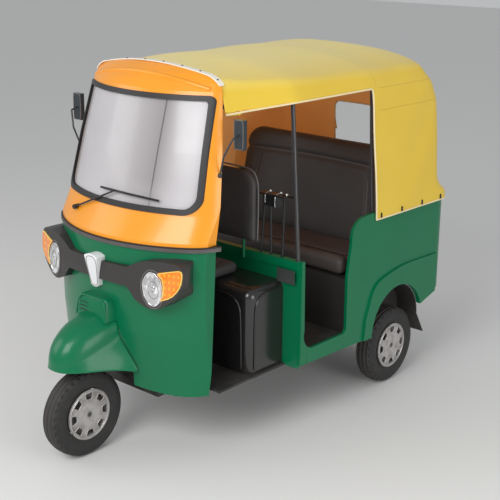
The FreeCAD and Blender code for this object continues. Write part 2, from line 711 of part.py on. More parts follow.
lid_sheet = block("lid_sheet", ("0 - lid_half", "rear_axle_y + rear_overhang - skin", "lid_low"),
                  ("lid_half", "rear_axle_y + rear_overhang", "lid_high"))
lid_whole = [lid_sheet]
pin_bores = []
for side_sign in (-1, 1):
    middle = side_sign * HINGE_X
    lid_whole.append(rod("hinge_barrel", PIN_RADIUS + BARREL_WALL, (middle - HINGE_HALF, hinge_y, hinge_z), "x",
                         2 * HINGE_HALF))
    lid_whole.append(block("hinge_leaf", (middle - HINGE_HALF, "rear_axle_y + rear_overhang - 1", "lid_high - 40"),
                           (middle + HINGE_HALF, f"{hinge_y} + 3", hinge_z)))
    pin_bores.append(rod("pin_bore", f"{PIN_RADIUS} + running_gap", (middle - HINGE_HALF - 1, hinge_y, hinge_z),
                         "x", 2 * HINGE_HALF + 2))
node("engine_lid", cut("engine_lid", fuse("lid_solid", lid_whole), fuse("pin_bores", pin_bores)))

# Tail lamps: three round lenses one above the other on a back plate, by each rear corner.
TAIL_LENS_RADIUS = 42
TAIL_LENS_DEEP = 60
tail_x = half - bend - 23
tail_stack = Part.makeBox(92, 8, 275, Vector(tail_x - 46, rear_y, 752))
for tail_z in (800, 890, 980):
    lens = Part.makeCylinder(TAIL_LENS_RADIUS, TAIL_LENS_DEEP, Vector(tail_x, rear_y, tail_z), Vector(0, 1, 0))
    tail_stack = tail_stack.fuse(lens)
node("tail_lamps", made("tail_lamps", Part.makeCompound([tail_stack, mirrored(tail_stack)])))

# ---------------------------------------------------------------- bench and luggage space
front_board = block("bench_front_board", ("skin - body_half_width", "bench_front", "cab_bottom"),
                    ("body_half_width - skin", "bench_front + 15", "bench_z"))
top_board = block("bench_top_board", ("skin - body_half_width", "bench_front", "bench_z - 15"),
                  ("body_half_width - skin", "bench_front + 585", "bench_z"))
back_board = block("bench_back_board", ("skin - body_half_width", "bench_front + 570", "bench_z - 15"),
                   ("body_half_width - skin", "bench_front + 585", "shelf_z"))
node("bench_box", fuse("bench_box", [front_board, top_board, back_board]))
node("luggage_shelf", block("luggage_shelf",
                            ("skin - body_half_width", "bench_front + 585", "shelf_z - sheet_gauge"),
                            ("body_half_width - skin", "rear_axle_y + rear_overhang - corner_radius", "shelf_z")))
BENCH_HALF = 655
bench = block("bench_pad_block", (-BENCH_HALF, "bench_front - 5", "bench_z + seat_gap"),
              (BENCH_HALF, "bench_front + 399", "bench_z + bench_pad"))
node("bench_cushion", rounded("bench_cushion", bench, 40, lambda edge: edge.Length > 60))
BENCH_BACK_HALF = 600
board_top = size.bench_z + size.seat_gap
bench_back = prism(((bench_y + 400, board_top), (bench_y + 500, board_top), (bench_y + 660, 1478),
                    (bench_y + 565, 1478)), "yz", -BENCH_BACK_HALF, BENCH_BACK_HALF)
node("bench_backrest", made("bench_backrest", bench_back))

# ---------------------------------------------------------------- hood
# upright cross-sections: place from the partition, half width at the lower edge, half width and
# height at the shoulder, and the crown's height less the roof's
HOOD_FRAMES = (
    (-900, 500, 440, 1997, -4),
    (-385, 500, 440, 1997, -4),
    (0, 648, 590, 1975, -2),
    (595, 692, 635, 1968, 0),
    (1700, 692, 635, 1968, 0),
)
HOOD_STRAIGHT_TOP = 1165
# level cross-sections of its tail: height, how much narrower and how much further forward than the
# lowest, and how much rounder the corners
TAIL_FRAMES = (
    (900, 0, 0, 0),
    (1165, 0, 0, 0),
    (1190, -2, 70, 8),
    (1240, 0, 100, 12),
    (1745, 18, 125, 28),
    (1862, 22, 200, 33),
    (1968, 75, 274, 40),
    (2030, 105, 347, 48),
    (2100, 150, 590, 48),
)
HOOD_FRONT_HALF = 512
HOOD_POST_HALF = 654
HOOD_FRONT = door_edge(CAP_SPRING_Z)
EDGE_FALL = 33
EDGE_RISE = 12
HOOD_REACH = 600


def hood_wire(frame, inset):
    """One upright cross-section: leaning sides under a round crown."""
    back, low_x, shoulder_x, shoulder_z, crown_less = frame
    foot_x = half + size.cloth + size.seat_gap - inset
    low_x = low_x - inset
    shoulder_x = shoulder_x - inset * 0.5
    shoulder_z = shoulder_z - inset
    points = ((-foot_x, 100), (-foot_x, HOOD_STRAIGHT_TOP), (-low_x, size.hood_edge), (-shoulder_x, shoulder_z),
              ("arc", 0, size.crown + crown_less - inset), (shoulder_x, shoulder_z), (low_x, size.hood_edge),
              (foot_x, HOOD_STRAIGHT_TOP), (foot_x, 100))
    return outline(points, "xz", size.partition_y + back).OuterWire


def tail_wire(frame, inset):
    """One level cross-section of the hood's tail: two straight sides, a back and round corners."""
    height, narrower, forward, rounder = frame
    over = size.cloth + size.seat_gap
    if height > size.hood_edge:
        height = height - inset
    corner = bend + over + rounder - inset
    side_x = half + over - narrower - inset
    back_y = rear_y + over - forward - inset
    front_y = HOOD_FRONT - 300
    mid = corner * (1 - math.sqrt(0.5))
    points = ((side_x, front_y), (side_x, back_y - corner), ("arc", side_x - mid, back_y - mid),
              (side_x - corner, back_y), (corner - side_x, back_y), ("arc", mid - side_x, back_y - mid),
              (-side_x, back_y - corner), (-side_x, front_y))
    return outline(points, "xy", height).OuterWire


def hood_solid(inset, drop=0.0):
    """The hood's outer form, drawn in by inset: cross-sections, plan and tail in one."""
    over = size.cloth + size.seat_gap
    back_x = half + over - inset
    back_y = rear_y + 200
    plan = ((HOOD_FRONT_HALF - inset, HOOD_FRONT - 300), (HOOD_FRONT_HALF - inset, HOOD_FRONT),
            (HOOD_POST_HALF - inset, door_y), (back_x, size.bench_front + 165), (back_x, back_y),
            (-back_x, back_y), (-back_x, size.bench_front + 165), (inset - HOOD_POST_HALF, door_y),
            (inset - HOOD_FRONT_HALF, HOOD_FRONT), (inset - HOOD_FRONT_HALF, HOOD_FRONT - 300))
    body = Part.makeLoft([hood_wire(frame, inset) for frame in HOOD_FRAMES], True, True)
    body = body.common(prism(plan, "xy", size.body_top - 25 - drop, 2200))
    return body.common(Part.makeLoft([tail_wire(frame, inset) for frame in TAIL_FRAMES], True, True))


quarter = size.bench_front + 190
edge_line = ((HOOD_FRONT - HOOD_REACH, size.hood_edge - EDGE_FALL), (HOOD_FRONT, size.hood_edge - EDGE_FALL),
             (door_y, size.hood_edge), (quarter - 10, size.hood_edge + EDGE_RISE))
open_sides = prism(edge_line + ((quarter + 42, 800), (HOOD_FRONT - HOOD_REACH, 800)), "yz", -900, 900)
edge_end = (rear_y + 300, size.hood_edge + EDGE_RISE)
above = prism(edge_line + (edge_end, (edge_end[0], 2300), (edge_line[0][0], 2300)), "yz", -900, 900)
hood = hood_solid(0).cut([hood_solid(size.cloth, drop=100), open_sides]).common(behind_door_edge())
REAR_SPLIT = rear_y - 235
back_part = Part.makeBox(2000, 1000, 3000, Vector(-1000, REAR_SPLIT, 0))
lower = hood.cut(above)
REAR_WINDOW = ((-155, 1330), (155, 1330), (155, 1634), (-155, 1634))
window = prism(REAR_WINDOW, "xz", REAR_SPLIT, REAR_SPLIT + 400)
node("hood_roof", made("hood_roof", hood.common(above)))
node("hood_quarters", made("hood_quarters", lower.cut(back_part)))
node("hood_rear", made("hood_rear", lower.common(back_part).cut(window)))

# Pale strip that clamps the hood's front edge over the cab's rear edge.
STRIP_HALF = 18
STRIP_THICK = 6
front_line = cap_curve(-STRIP_HALF)
back_line = cap_curve(STRIP_HALF)
strip_plan = prism((front_line[0], front_line[1], front_line[2], back_line[2], back_line[1], back_line[0]), "xy",
                   1900, 2300)
trim = cap_prism(-STRIP_THICK).cut(cap_prism(-size.seat_gap)).common(strip_plan).cut(hood)
node("roof_trim_strip", made("roof_trim_strip", trim))

# Poles and bows that carry the hood.
BOW_RADIUS = 10
RAIL_Z = size.hood_edge + 15
RAIL_X = 652
POST_HEAD_X = 612
pole_r = size.pole_radius
POST_FOOT_X = half - skin - pole_r - 2
frame_bars = []
poles = []
for sign in (-1, 1):
    foot = Vector(sign * POST_FOOT_X, door_y, size.beam_top - 3)
    head_point = Vector(sign * POST_HEAD_X, door_y, RAIL_Z)
    poles.append(round_bar(pole_r, foot, head_point).cut(slab(0, size.beam_top)))
    frame_bars.append(poles[-1])
    rail_points = [Vector(sign * 468, HOOD_FRONT + 6, RAIL_Z - 15), head_point,
                   Vector(sign * RAIL_X, bench_y + 165, RAIL_Z), Vector(sign * RAIL_X, rear_y - 330, RAIL_Z)]
    frame_bars.append(bent_bar(pole_r, rail_points))
    frame_bars.append(round_bar(pole_r, Vector(sign * RAIL_X, bench_y + 220, RAIL_Z),
                                Vector(sign * (half - skin - pole_r - 0.3), bench_y + 240, size.body_top - 60)))
for y, reach in ((door_y, POST_HEAD_X), (bench_y + 220, RAIL_X), (rear_y - 450, RAIL_X)):
    arc = Part.Arc(Vector(-reach, y, RAIL_Z), Vector(0, y, size.crown - 40), Vector(reach, y, RAIL_Z)).toShape()
    path = Part.Wire([arc])
    ring_edge = Part.makeCircle(BOW_RADIUS, Vector(-reach, y, RAIL_Z), arc.tangentAt(arc.FirstParameter))
    frame_bars.append(path.makePipeShell([Part.Wire([ring_edge])], True, True))
node("hood_frame", made("hood_frame", frame_bars[0].fuse(frame_bars[1:])))

# ---------------------------------------------------------------- small fittings
# Wiper: pivot on the panel under the screen, arm and blade ahead of the glass.
def on_cab(x, z, out):
    """A point off the cab's front, by the sections' own curve."""
    for low, high in zip(CAB_SECTIONS, CAB_SECTIONS[1:]):
        if low[0] <= z <= high[0]:
            share = (z - low[0]) / (high[0] - low[0])
            nose = low[1] + share * (high[1] - low[1])
            front = low[2] + share * (high[2] - low[2])
            y = size.front_axle_y + nose + front - math.sqrt(front ** 2 - x ** 2)
            return Vector(x, y - out, z)
    return None


pivot = round_bar(13, on_cab(-278, 1280, -10), on_cab(-278, 1280, 28)).cut(cab_solid(-0.2))
arm = round_bar(5, on_cab(-278, 1280, 22), on_cab(35, 1420, 22))
blade = round_bar(6, on_cab(-81, 1418, 16), on_cab(115, 1416, 19))
blade = blade.fuse(round_bar(6, on_cab(115, 1416, 19), on_cab(308, 1402, 16)))
node("wiper", made("wiper", pivot.fuse([arm, blade]).removeSplitter()))

MIRROR_X, MIRROR_Z = 620, 1745
ball_at = Vector(538, size.front_axle_y + 497, 1534)
mirror_y = size.front_axle_y + 558
head_box = Part.makeBox(64, 26, 150, Vector(MIRROR_X - 32, mirror_y - 13, MIRROR_Z - 75))
stem = bent_bar(5, [ball_at, Vector(580, mirror_y - 78, 1640), Vector(MIRROR_X, mirror_y - 55, 1730),
                    Vector(MIRROR_X, mirror_y - 8, MIRROR_Z)])
mirror = head_box.fuse([stem, Part.makeSphere(12, ball_at)]).cut(cab_solid(-0.1)).removeSplitter()
node("mirrors", made("mirrors", Part.makeCompound([mirror, mirrored(mirror)])))

# Fare meter stand on the beam, tied to the left pole.
stand_y = size.partition_y
below_beam = slab(0, size.beam_top)
legs = [round_bar(7, Vector(x, stand_y, size.beam_top - 5), Vector(x + lean, stand_y, 1350)).cut(below_beam)
        for x, lean in ((405, 30), (480, -10), (560, 10))]
top_plate = Part.makeBox(175, 60, 8, Vector(415, stand_y - 30, 1344))
arm_z = 1352
share = (arm_z - size.beam_top) / (RAIL_Z - size.beam_top)
post_x = POST_FOOT_X + (POST_HEAD_X - POST_FOOT_X) * share
arm_bar = round_bar(6, Vector(560, stand_y, arm_z), Vector(post_x, stand_y, arm_z)).cut(poles[1])
holder = Part.makeBox(90, 50, 60, Vector(440, stand_y - 25, 1284))
node("meter_stand", made("meter_stand", top_plate.fuse(legs + [arm_bar, holder]).removeSplitter()))

# ---------------------------------------------------------------- engine, silencer, rear suspension
ENGINE_LEFT, ENGINE_RIGHT = 200, -235
ENGINE_BACK = 400
node("engine_block", block("engine_block", (ENGINE_RIGHT, "rear_axle_y + 60", 255),
                           (ENGINE_LEFT, f"rear_axle_y + {ENGINE_BACK}", 640)))
SILENCER_RADIUS = 44
silencer_y = size.rear_axle_y + ENGINE_BACK + SILENCER_RADIUS + size.seat_gap
silencer = round_bar(SILENCER_RADIUS, Vector(-160, silencer_y, 270), Vector(240, silencer_y, 270))
node("silencer", made("silencer", silencer))

# Each side's arm carries its hub, stub axle and damper, with the drive shaft from the engine.
hub_x = size.rear_wheel_x - size.tyre_width / 2
arms = []
for sign, engine_x in ((-1, ENGINE_RIGHT), (1, ENGINE_LEFT)):
    hinge_at = Vector(sign * 380, size.rear_axle_y - 330, 355)
    hub_at = Vector(sign * (hub_x - 50), size.rear_axle_y, size.tyre_radius)
    beam_bar = round_bar(22, hinge_at, hub_at)
    carrier = round_bar(40, hub_at - Vector(sign * 20, 0, 0), hub_at + Vector(sign * 25, 0, 0))
    stub = round_bar(size.axle_radius, hub_at, Vector(sign * (size.rear_wheel_x + 10), size.rear_axle_y, size.tyre_radius))
    rail_side = size.rail_x + size.rail_width / 2 + size.seat_gap
    hinge_bar = round_bar(20, Vector(sign * rail_side, hinge_at.y, 355), Vector(sign * 460, hinge_at.y, 355))
    damper = round_bar(28, hub_at + Vector(0, -10, 20), Vector(sign * 470, size.rear_axle_y - 60, 760))
    shaft = round_bar(14, Vector(engine_x - sign * 10, size.rear_axle_y + 90, 300), hub_at)
    engine_side = Part.makeBox(40, 400, 400, Vector(engine_x - 20 - sign * 20, size.rear_axle_y, 100))
    arms.append(beam_bar.fuse([carrier, stub, hinge_bar, damper, shaft.cut(engine_side)]).removeSplitter())
node("rear_swing_arms", made("rear_swing_arms", Part.makeCompound(arms)))

# ---------------------------------------------------------------- wheels
# one window of a wheel cover, narrow towards the hub
COVER_WINDOW = ((-17, 87), (17, 87), (27, 122), (-27, 122))
BEAD_HALF = size.tyre_width / 2 - 10
TREAD_HALF = size.tyre_width / 2 - 12


def tyre(name, x, y):
    """A road tyre as a turned ring, its middle at x and y."""
    r_out = size.tyre_radius
    r_in = size.rim_radius
    wide = size.tyre_width / 2
    profile = ((-BEAD_HALF, r_in), (BEAD_HALF, r_in), ("arc", wide, (r_in + r_out) / 2 + 6),
               (TREAD_HALF + 4, r_out - 12), ("arc", TREAD_HALF - 4, r_out - 4), (TREAD_HALF - 14, r_out - 1),
               ("arc", 0, r_out), (14 - TREAD_HALF, r_out - 1), ("arc", 4 - TREAD_HALF, r_out - 4),
               (-TREAD_HALF - 4, r_out - 12), ("arc", -wide, (r_in + r_out) / 2 + 6))
    ring = outline(profile, "xz").revolve(Vector(), Vector(1, 0, 0), 360)
    return node(name, made(name, Part.Solid(Part.Shell(ring.Faces)), Vector(x, y, r_out)))


def wheel_disc(name, x, y, outside):
    """Rim, disc, pressed cover with its windows and brake drum. outside is +1 or -1 along X."""
    r_rim = size.rim_radius - size.seat_gap
    wide = BEAD_HALF
    axis = Vector(outside, 0, 0)
    barrel = Part.makeCylinder(r_rim, 2 * wide, Vector(-outside * wide, 0, 0), axis)
    barrel = barrel.cut(Part.makeCylinder(r_rim - 6, 2 * wide, Vector(-outside * wide, 0, 0), axis))
    disc = Part.makeCylinder(r_rim - 3, 8, Vector(outside * 8, 0, 0), axis)
    drum = Part.makeCylinder(size.drum_radius, size.drum_depth, Vector(outside * (8 - size.drum_depth), 0, 0), axis)
    cover_at = size.tyre_width / 2 - 4
    cover = Part.makeCylinder(size.cover_radius, 4, Vector(outside * cover_at, 0, 0), axis)
    edge = Part.makeCylinder(r_rim, cover_at - wide + 2, Vector(outside * (wide - 2), 0, 0), axis)
    edge = edge.cut(Part.makeCylinder(r_rim - 6, 40, Vector(outside * (wide - 4), 0, 0), axis))
    count = int(size.wheel_windows)
    for index in range(count):
        window = prism(COVER_WINDOW, "yz", outside * cover_at - 10, outside * cover_at + 10)
        window.rotate(Vector(), Vector(1, 0, 0), 360 * index / count)
        cover = cover.cut(window)
    hub = Part.makeCylinder(40, cover_at - 6, Vector(outside * 8, 0, 0), axis)
    wheel = barrel.fuse([disc, drum, cover, edge, hub])
    blind = Part.makeCylinder(size.axle_radius + size.running_gap, size.drum_depth + 12,
                              Vector(outside * (8 - size.drum_depth - 2), 0, 0), axis)
    wheel = wheel.cut(blind).removeSplitter()
    return node(name, made(name, wheel, Vector(x, y, size.tyre_radius)))


WHEELS = (
    ("front", 0.0, size.front_axle_y, 1),
    ("rear_left", size.rear_wheel_x, size.rear_axle_y, 1),
    ("rear_right", -size.rear_wheel_x, size.rear_axle_y, -1),
)
for place_name, x, y, outside in WHEELS:
    tyre(f"{place_name}_tyre", x, y)
    wheel_disc(f"{place_name}_wheel", x, y, outside)

# ---------------------------------------------------------------- steering
COLUMN_LOW = 560
column = round_bar(size.column_radius, on_axis(COLUMN_LOW), on_axis(size.bar_height + 12))
leg_x = -size.tyre_width / 2 - 42
knee = on_axis(COLUMN_LOW + 5)
elbow = Vector(leg_x, knee.y, knee.z)
hinge_point = Vector(leg_x, size.front_axle_y + 105, 330)
wheel_middle = Vector(leg_x, size.front_axle_y, size.tyre_radius)
leg = bent_bar(20, [knee, elbow, hinge_point, wheel_middle])
hub_plate = round_bar(38, wheel_middle - Vector(12, 0, 0), wheel_middle + Vector(28, 0, 0))
stub = round_bar(size.axle_radius, wheel_middle, Vector(10, size.front_axle_y, size.tyre_radius))
node("steering_column", made("steering_column", column))
column_tool = round_bar(size.column_radius, on_axis(COLUMN_LOW - 20), on_axis(size.bar_height))
node("front_swing_arm", made("front_swing_arm", leg.fuse([hub_plate, stub]).cut(column_tool).removeSplitter()))
clamp = on_axis(size.bar_height)
bar_points = [clamp + Vector(-size.bar_half, size.bar_sweep, 0), clamp + Vector(-150, 20, 0),
              clamp + Vector(150, 20, 0), clamp + Vector(size.bar_half, size.bar_sweep, 0)]
bar = bent_bar(size.bar_radius, bar_points)
clamp_block = Part.makeCylinder(size.column_radius + 8, 50, clamp - AXIS * 12, AXIS)
bar = bar.fuse(clamp_block).cut(column).removeSplitter()
grips = []
for outer_end, inner_end in ((bar_points[0], bar_points[1]), (bar_points[3], bar_points[2])):
    way = (inner_end - outer_end).normalize()
    sleeve = round_bar(size.grip_radius, outer_end - way * 2, outer_end + way * size.grip_length)
    grips.append(sleeve.cut(bar))
node("handlebar", made("handlebar", bar))
node("handlebar_grips", made("handlebar_grips", Part.makeCompound(grips)))

# ---------------------------------------------------------------- check and write
doc.recompute()
faults = []
for item in doc.Objects:
    if "Invalid" in item.State or "Error" in item.State:
        faults.append(f"{item.Name} is {item.State}")
for name, item in nodes.items():
    if item.Shape.isNull() or not item.Shape.isValid() or not item.Shape.Solids:
        faults.append(f"{name} has no valid shape")
if faults:
    raise RuntimeError("; ".join(faults))
for name, item in nodes.items():
    item.Shape.exportStep(os.path.join("parts", f"{name}.step"))
    box = item.Shape.BoundBox
    print(f"{name:22s} solids {len(item.Shape.Solids):2d} volume {item.Shape.Volume / 1e6:9.3f} l "
          f"x {box.XMin:7.1f} {box.XMax:7.1f} y {box.YMin:7.1f} {box.YMax:7.1f} z {box.ZMin:7.1f} {box.ZMax:7.1f}")
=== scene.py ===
import bmesh
import bpy
import math
from mathutils import Matrix, Vector
from mathutils.bvhtree import BVHTree


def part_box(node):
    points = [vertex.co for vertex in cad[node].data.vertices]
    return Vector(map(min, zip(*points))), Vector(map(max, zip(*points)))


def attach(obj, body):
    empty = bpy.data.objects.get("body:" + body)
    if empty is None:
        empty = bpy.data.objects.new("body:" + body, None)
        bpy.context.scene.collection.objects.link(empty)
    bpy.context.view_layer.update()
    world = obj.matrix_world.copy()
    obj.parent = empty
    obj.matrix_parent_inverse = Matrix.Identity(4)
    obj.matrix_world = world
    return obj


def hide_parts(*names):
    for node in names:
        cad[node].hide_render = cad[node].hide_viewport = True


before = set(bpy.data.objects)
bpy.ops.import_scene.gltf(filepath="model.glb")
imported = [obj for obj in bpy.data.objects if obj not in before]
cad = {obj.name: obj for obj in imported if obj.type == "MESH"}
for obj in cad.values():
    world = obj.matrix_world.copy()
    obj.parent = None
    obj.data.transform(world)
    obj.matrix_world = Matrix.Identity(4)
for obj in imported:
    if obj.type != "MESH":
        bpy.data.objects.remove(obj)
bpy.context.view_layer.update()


# ------------------------------------------------------------------ chassis
# The ladder chassis is welded from pressed steel channel and painted satin black. The floors, the
# partition and both axles bolt to it. Road dust lies on its lower faces.
class Shade:
    """A value in a finish. The operators add Math nodes to it."""

    def __init__(self, finish, socket):
        self.finish = finish
        self.socket = socket

    def __add__(self, other):
        return self.finish.maths("ADD", self, other)

    def __sub__(self, other):
        return self.finish.maths("SUBTRACT", self, other)

    def __rsub__(self, other):
        return self.finish.maths("SUBTRACT", other, self)

    def __mul__(self, other):
        return self.finish.maths("MULTIPLY", self, other)

    __radd__ = __add__
    __rmul__ = __mul__


class Finish:
    """A finish on one shader, made node by node."""

    def __init__(self, name, **sockets):
        self.material = bpy.data.materials.new(name)
        self.material.use_nodes = True
        self.tree = self.material.node_tree
        self.shader = self.tree.nodes["Principled BSDF"]
        self.place = self.add("ShaderNodeTexCoord", output="Object")
        self.feed(self.shader, {name.replace("_", " "): value for name, value in sockets.items()})

    def feed(self, node, sockets):
        for name, value in sockets.items():
            if isinstance(value, Shade):
                self.tree.links.new(value.socket, node.inputs[name])
            else:
                node.inputs[name].default_value = value

    def add(self, kind, settings={}, sockets={}, output=0):
        """One node: its settings, then its sockets. Returns one of its outputs."""
        node = self.tree.nodes.new(kind)
        for name, value in settings.items():
            setattr(node, name, value)
        self.feed(node, sockets)
        return Shade(self, node.outputs[output])

    def maths(self, operation, first, second=0.0):
        return self.add("ShaderNodeMath", {"operation": operation}, {0: first, 1: second})

    def noise(self, scale, detail=3.0, roughness=0.5, place=None):
        """Cloudy noise, 0 to 1, with this many clouds a metre."""
        sockets = {"Vector": place or self.place, "Scale": scale, "Detail": detail, "Roughness": roughness}
        return self.add("ShaderNodeTexNoise", {}, sockets)

    def cells(self, scale, place=None):
        """The distance to the nearest of many scattered points, as leather grain has."""
        return self.add("ShaderNodeTexVoronoi", {}, {"Vector": place or self.place, "Scale": scale})

    def stretched(self, x, y, z):
        """The place with each axis drawn out by its own number."""
        return self.add("ShaderNodeMapping", {}, {"Vector": self.place, "Scale": (x, y, z)})

    def centred(self, x, y, z):
        """The place measured from a point."""
        return self.add("ShaderNodeMapping", {}, {"Vector": self.place, "Location": (-x, -y, -z)})

    def step(self, value, low, high):
        """0 below low, 1 above high, and even between."""
        return self.add("ShaderNodeMapRange", {}, {"Value": value, "From Min": low, "From Max": high})

    def line(self, value, at, half):
        """1 on a line where value is at, and 0 further off than half."""
        return self.step(self.maths("ABSOLUTE", value - at), half, half * 0.4)

    def axis(self, name, place=None):
        return self.add("ShaderNodeSeparateXYZ", {}, {0: place or self.place}, name)

    def mix(self, share, first, second):
        """A colour from first to second by share."""
        return self.add("ShaderNodeMix", {"data_type": "RGBA"}, {0: share, 6: first, 7: second}, 2)

    def bump(self, height, depth, strength=1.0):
        """Relief as deep as depth, in metres, on the shader's surface."""
        relief = self.add("ShaderNodeBump", {}, {"Height": height, "Distance": depth, "Strength": strength})
        self.feed(self.shader, {"Normal": relief})

    def colour(self, colour):
        self.feed(self.shader, {"Base Color": colour})

    def roughness(self, value):
        self.feed(self.shader, {"Roughness": value})


def chart(red, green, blue):
    """A paint chart's colour, 0 to 255 a channel, as the shader's linear light."""
    return tuple((channel / 255) ** 2.2 for channel in (red, green, blue)) + (1.0,)


def shaded(colour, by):
    """The same colour, darker or lighter."""
    return tuple(min(channel * by, 1.0) for channel in colour[:3]) + (1.0,)


ROAD_DUST = chart(112, 104, 92)


def painted(name, colour, shine, dust=0.3, dust_top=0.55, peel=0.3, **sockets):
    """Sprayed paint on steel: a faint mottle, a soft orange-peel relief, and dust near the road."""
    finish = Finish(name, **sockets)
    mottle = finish.noise(3.0, 3.0)
    cloud = finish.noise(14.0, 4.0, 0.6)
    dusty = finish.step(finish.axis("Z"), dust_top, 0.15) * finish.step(cloud, 0.35, 0.7) * dust
    finish.colour(finish.mix(dusty, finish.mix(mottle, colour, shaded(colour, 0.84)), ROAD_DUST))
    finish.roughness(cloud * 0.1 + (dusty * 0.5 + (shine - 0.05)))
    finish.bump(finish.noise(260.0, 2.0), 0.0004, peel)
    return finish.material


def dress(material, slot, *names):
    """Gives CAD pieces their finish."""
    for name in names:
        cad[name].data.materials.clear()
        cad[name].data.materials.append(material)


STEEL_BLACK = painted("black_chassis_paint", chart(36, 36, 37), 0.42, dust=0.5)
dress(STEEL_BLACK, "black_steel", "chassis_frame", "wheel_house", "rear_swing_arms", "front_swing_arm",
      "steering_column")


# ------------------------------------------------------------------ engine and silencer
# The rear engine is a ribbed light-alloy casting, oily and dull. The silencer is a pressed steel drum
# with heat tint and a film of rust.
def casting():
    """Sand-cast alloy: coarse grain, oily patches and cooling ribs."""
    finish = Finish("cast_alloy", Metallic=0.7)
    oil = finish.step(finish.noise(9.0, 4.0), 0.42, 0.62)
    finish.colour(finish.mix(oil, chart(112, 112, 114), chart(58, 54, 50)))
    finish.roughness(0.62 - oil * 0.2)
    ribs = finish.maths("SINE", finish.axis("Z") * 420.0)
    finish.bump(finish.step(ribs, -0.2, 0.3) + finish.noise(180.0, 4.0) * 0.25, 0.004, 0.8)
    return finish.material


def exhaust():
    """Bare drawn steel with rust blooms and straw heat tint."""
    finish = Finish("sooty_steel", Metallic=0.8)
    rust = finish.step(finish.noise(16.0, 5.0, 0.65), 0.45, 0.7)
    finish.colour(finish.mix(rust, chart(128, 118, 106), chart(92, 58, 38)))
    finish.roughness(rust * 0.35 + 0.4)
    finish.bump(finish.noise(120.0, 4.0), 0.001, 0.4)
    return finish.material


dress(casting(), "cast_metal", "engine_block")
dress(exhaust(), "exhaust_steel", "silencer")


# ------------------------------------------------------------------ wheels
# Three 4.50-10 road tyres on pressed steel wheels. Each tyre is moulded black rubber with three
# grooves and blocks at its shoulders. The wheel's silver cover has eight windows with rolled lips.
def piece(name, shape, body, material, smooth=True):
    """A new piece from a finished bmesh."""
    mesh = bpy.data.meshes.new(name)
    shape.to_mesh(mesh)
    shape.free()
    item = bpy.data.objects.new(name, mesh)
    bpy.context.scene.collection.objects.link(item)
    for face in mesh.polygons:
        face.use_smooth = smooth
    mesh.materials.append(material)
    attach(item, body)
    return item


def bead(name, runs, radius, body, material, closed=False):
    """Round beads, cords of piping or wires: one smooth run for each list of points."""
    line = bpy.data.curves.new(name, "CURVE")
    line.dimensions = "3D"
    line.bevel_depth = radius
    line.bevel_resolution = 2
    line.resolution_u = 3
    line.use_fill_caps = True
    for points in runs:
        run = line.splines.new("NURBS")
        run.points.add(len(points) - 1)
        for spot, place in zip(run.points, points):
            spot.co = (*place, 1.0)
        run.order_u = 3
        run.use_endpoint_u = not closed
        run.use_cyclic_u = closed
    line.materials.append(material)
    item = bpy.data.objects.new(name, line)
    bpy.context.scene.collection.objects.link(item)
    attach(item, body)
    return item


AXLE_Z, FRONT_AXLE_Y, REAR_AXLE_Y, HALF_TRACK = 0.24, -1.125, 0.795, 0.61
# Each wheel: its name, its axle's x and y, the side its cover faces, and its body.
WHEELS = (("front", 0.0, FRONT_AXLE_Y, 1, "front_wheel_body"),
          ("rear_left", HALF_TRACK, REAR_AXLE_Y, 1, "rear_left_wheel_body"),
          ("rear_right", -HALF_TRACK, REAR_AXLE_Y, -1, "rear_right_wheel_body"))
# Half the tyre's profile, from its bead to the middle groove: across from the middle, and out from the axle.
TREAD = ((0.046, 0.1415), (0.0545, 0.166), (0.0562, 0.192), (0.0535, 0.214), (0.0475, 0.2275),
         (0.0405, 0.2345), (0.0315, 0.2368), (0.0295, 0.2310), (0.0255, 0.2310), (0.0235, 0.2385),
         (0.0045, 0.2398), (0.0025, 0.2325), (0.0, 0.2325))
TREAD_STEPS = 96
GAP_EVERY, GAP_DEPTH = 3, 0.0045
SHOULDER_ACROSS, SHOULDER_OUT = 0.0405, 0.2215
FLAT_AREA = 0.00004


def from_axle(finish, x, y):
    """The distance out from a wheel's axle, for patterns that run round the wheel."""
    at = finish.centred(x, y, AXLE_Z)
    up, along = finish.axis("Z", at), finish.axis("Y", at)
    return finish.maths("SQRT", up * up + along * along)


def rubber(name, x, y):
    """Tyre rubber round one wheel: fine grain, moulding rings on the walls and a dusty tread."""
    finish = Finish(name)
    out = from_axle(finish, x, y)
    cloud = finish.noise(22.0, 4.0)
    worn = finish.step(out, 0.225, 0.238) * 0.5 + finish.step(cloud, 0.4, 0.75) * 0.3
    finish.colour(finish.mix(worn, chart(42, 41, 41), chart(70, 66, 62)))
    finish.roughness(cloud * 0.15 + 0.62)
    rings = finish.line(out, 0.168, 0.0022) + finish.line(out, 0.205, 0.0018)
    rings = rings + finish.line(out, 0.212, 0.0018)
    finish.bump(rings + finish.noise(380.0, 3.0) * 0.15, 0.0016, 0.8)
    return finish.material


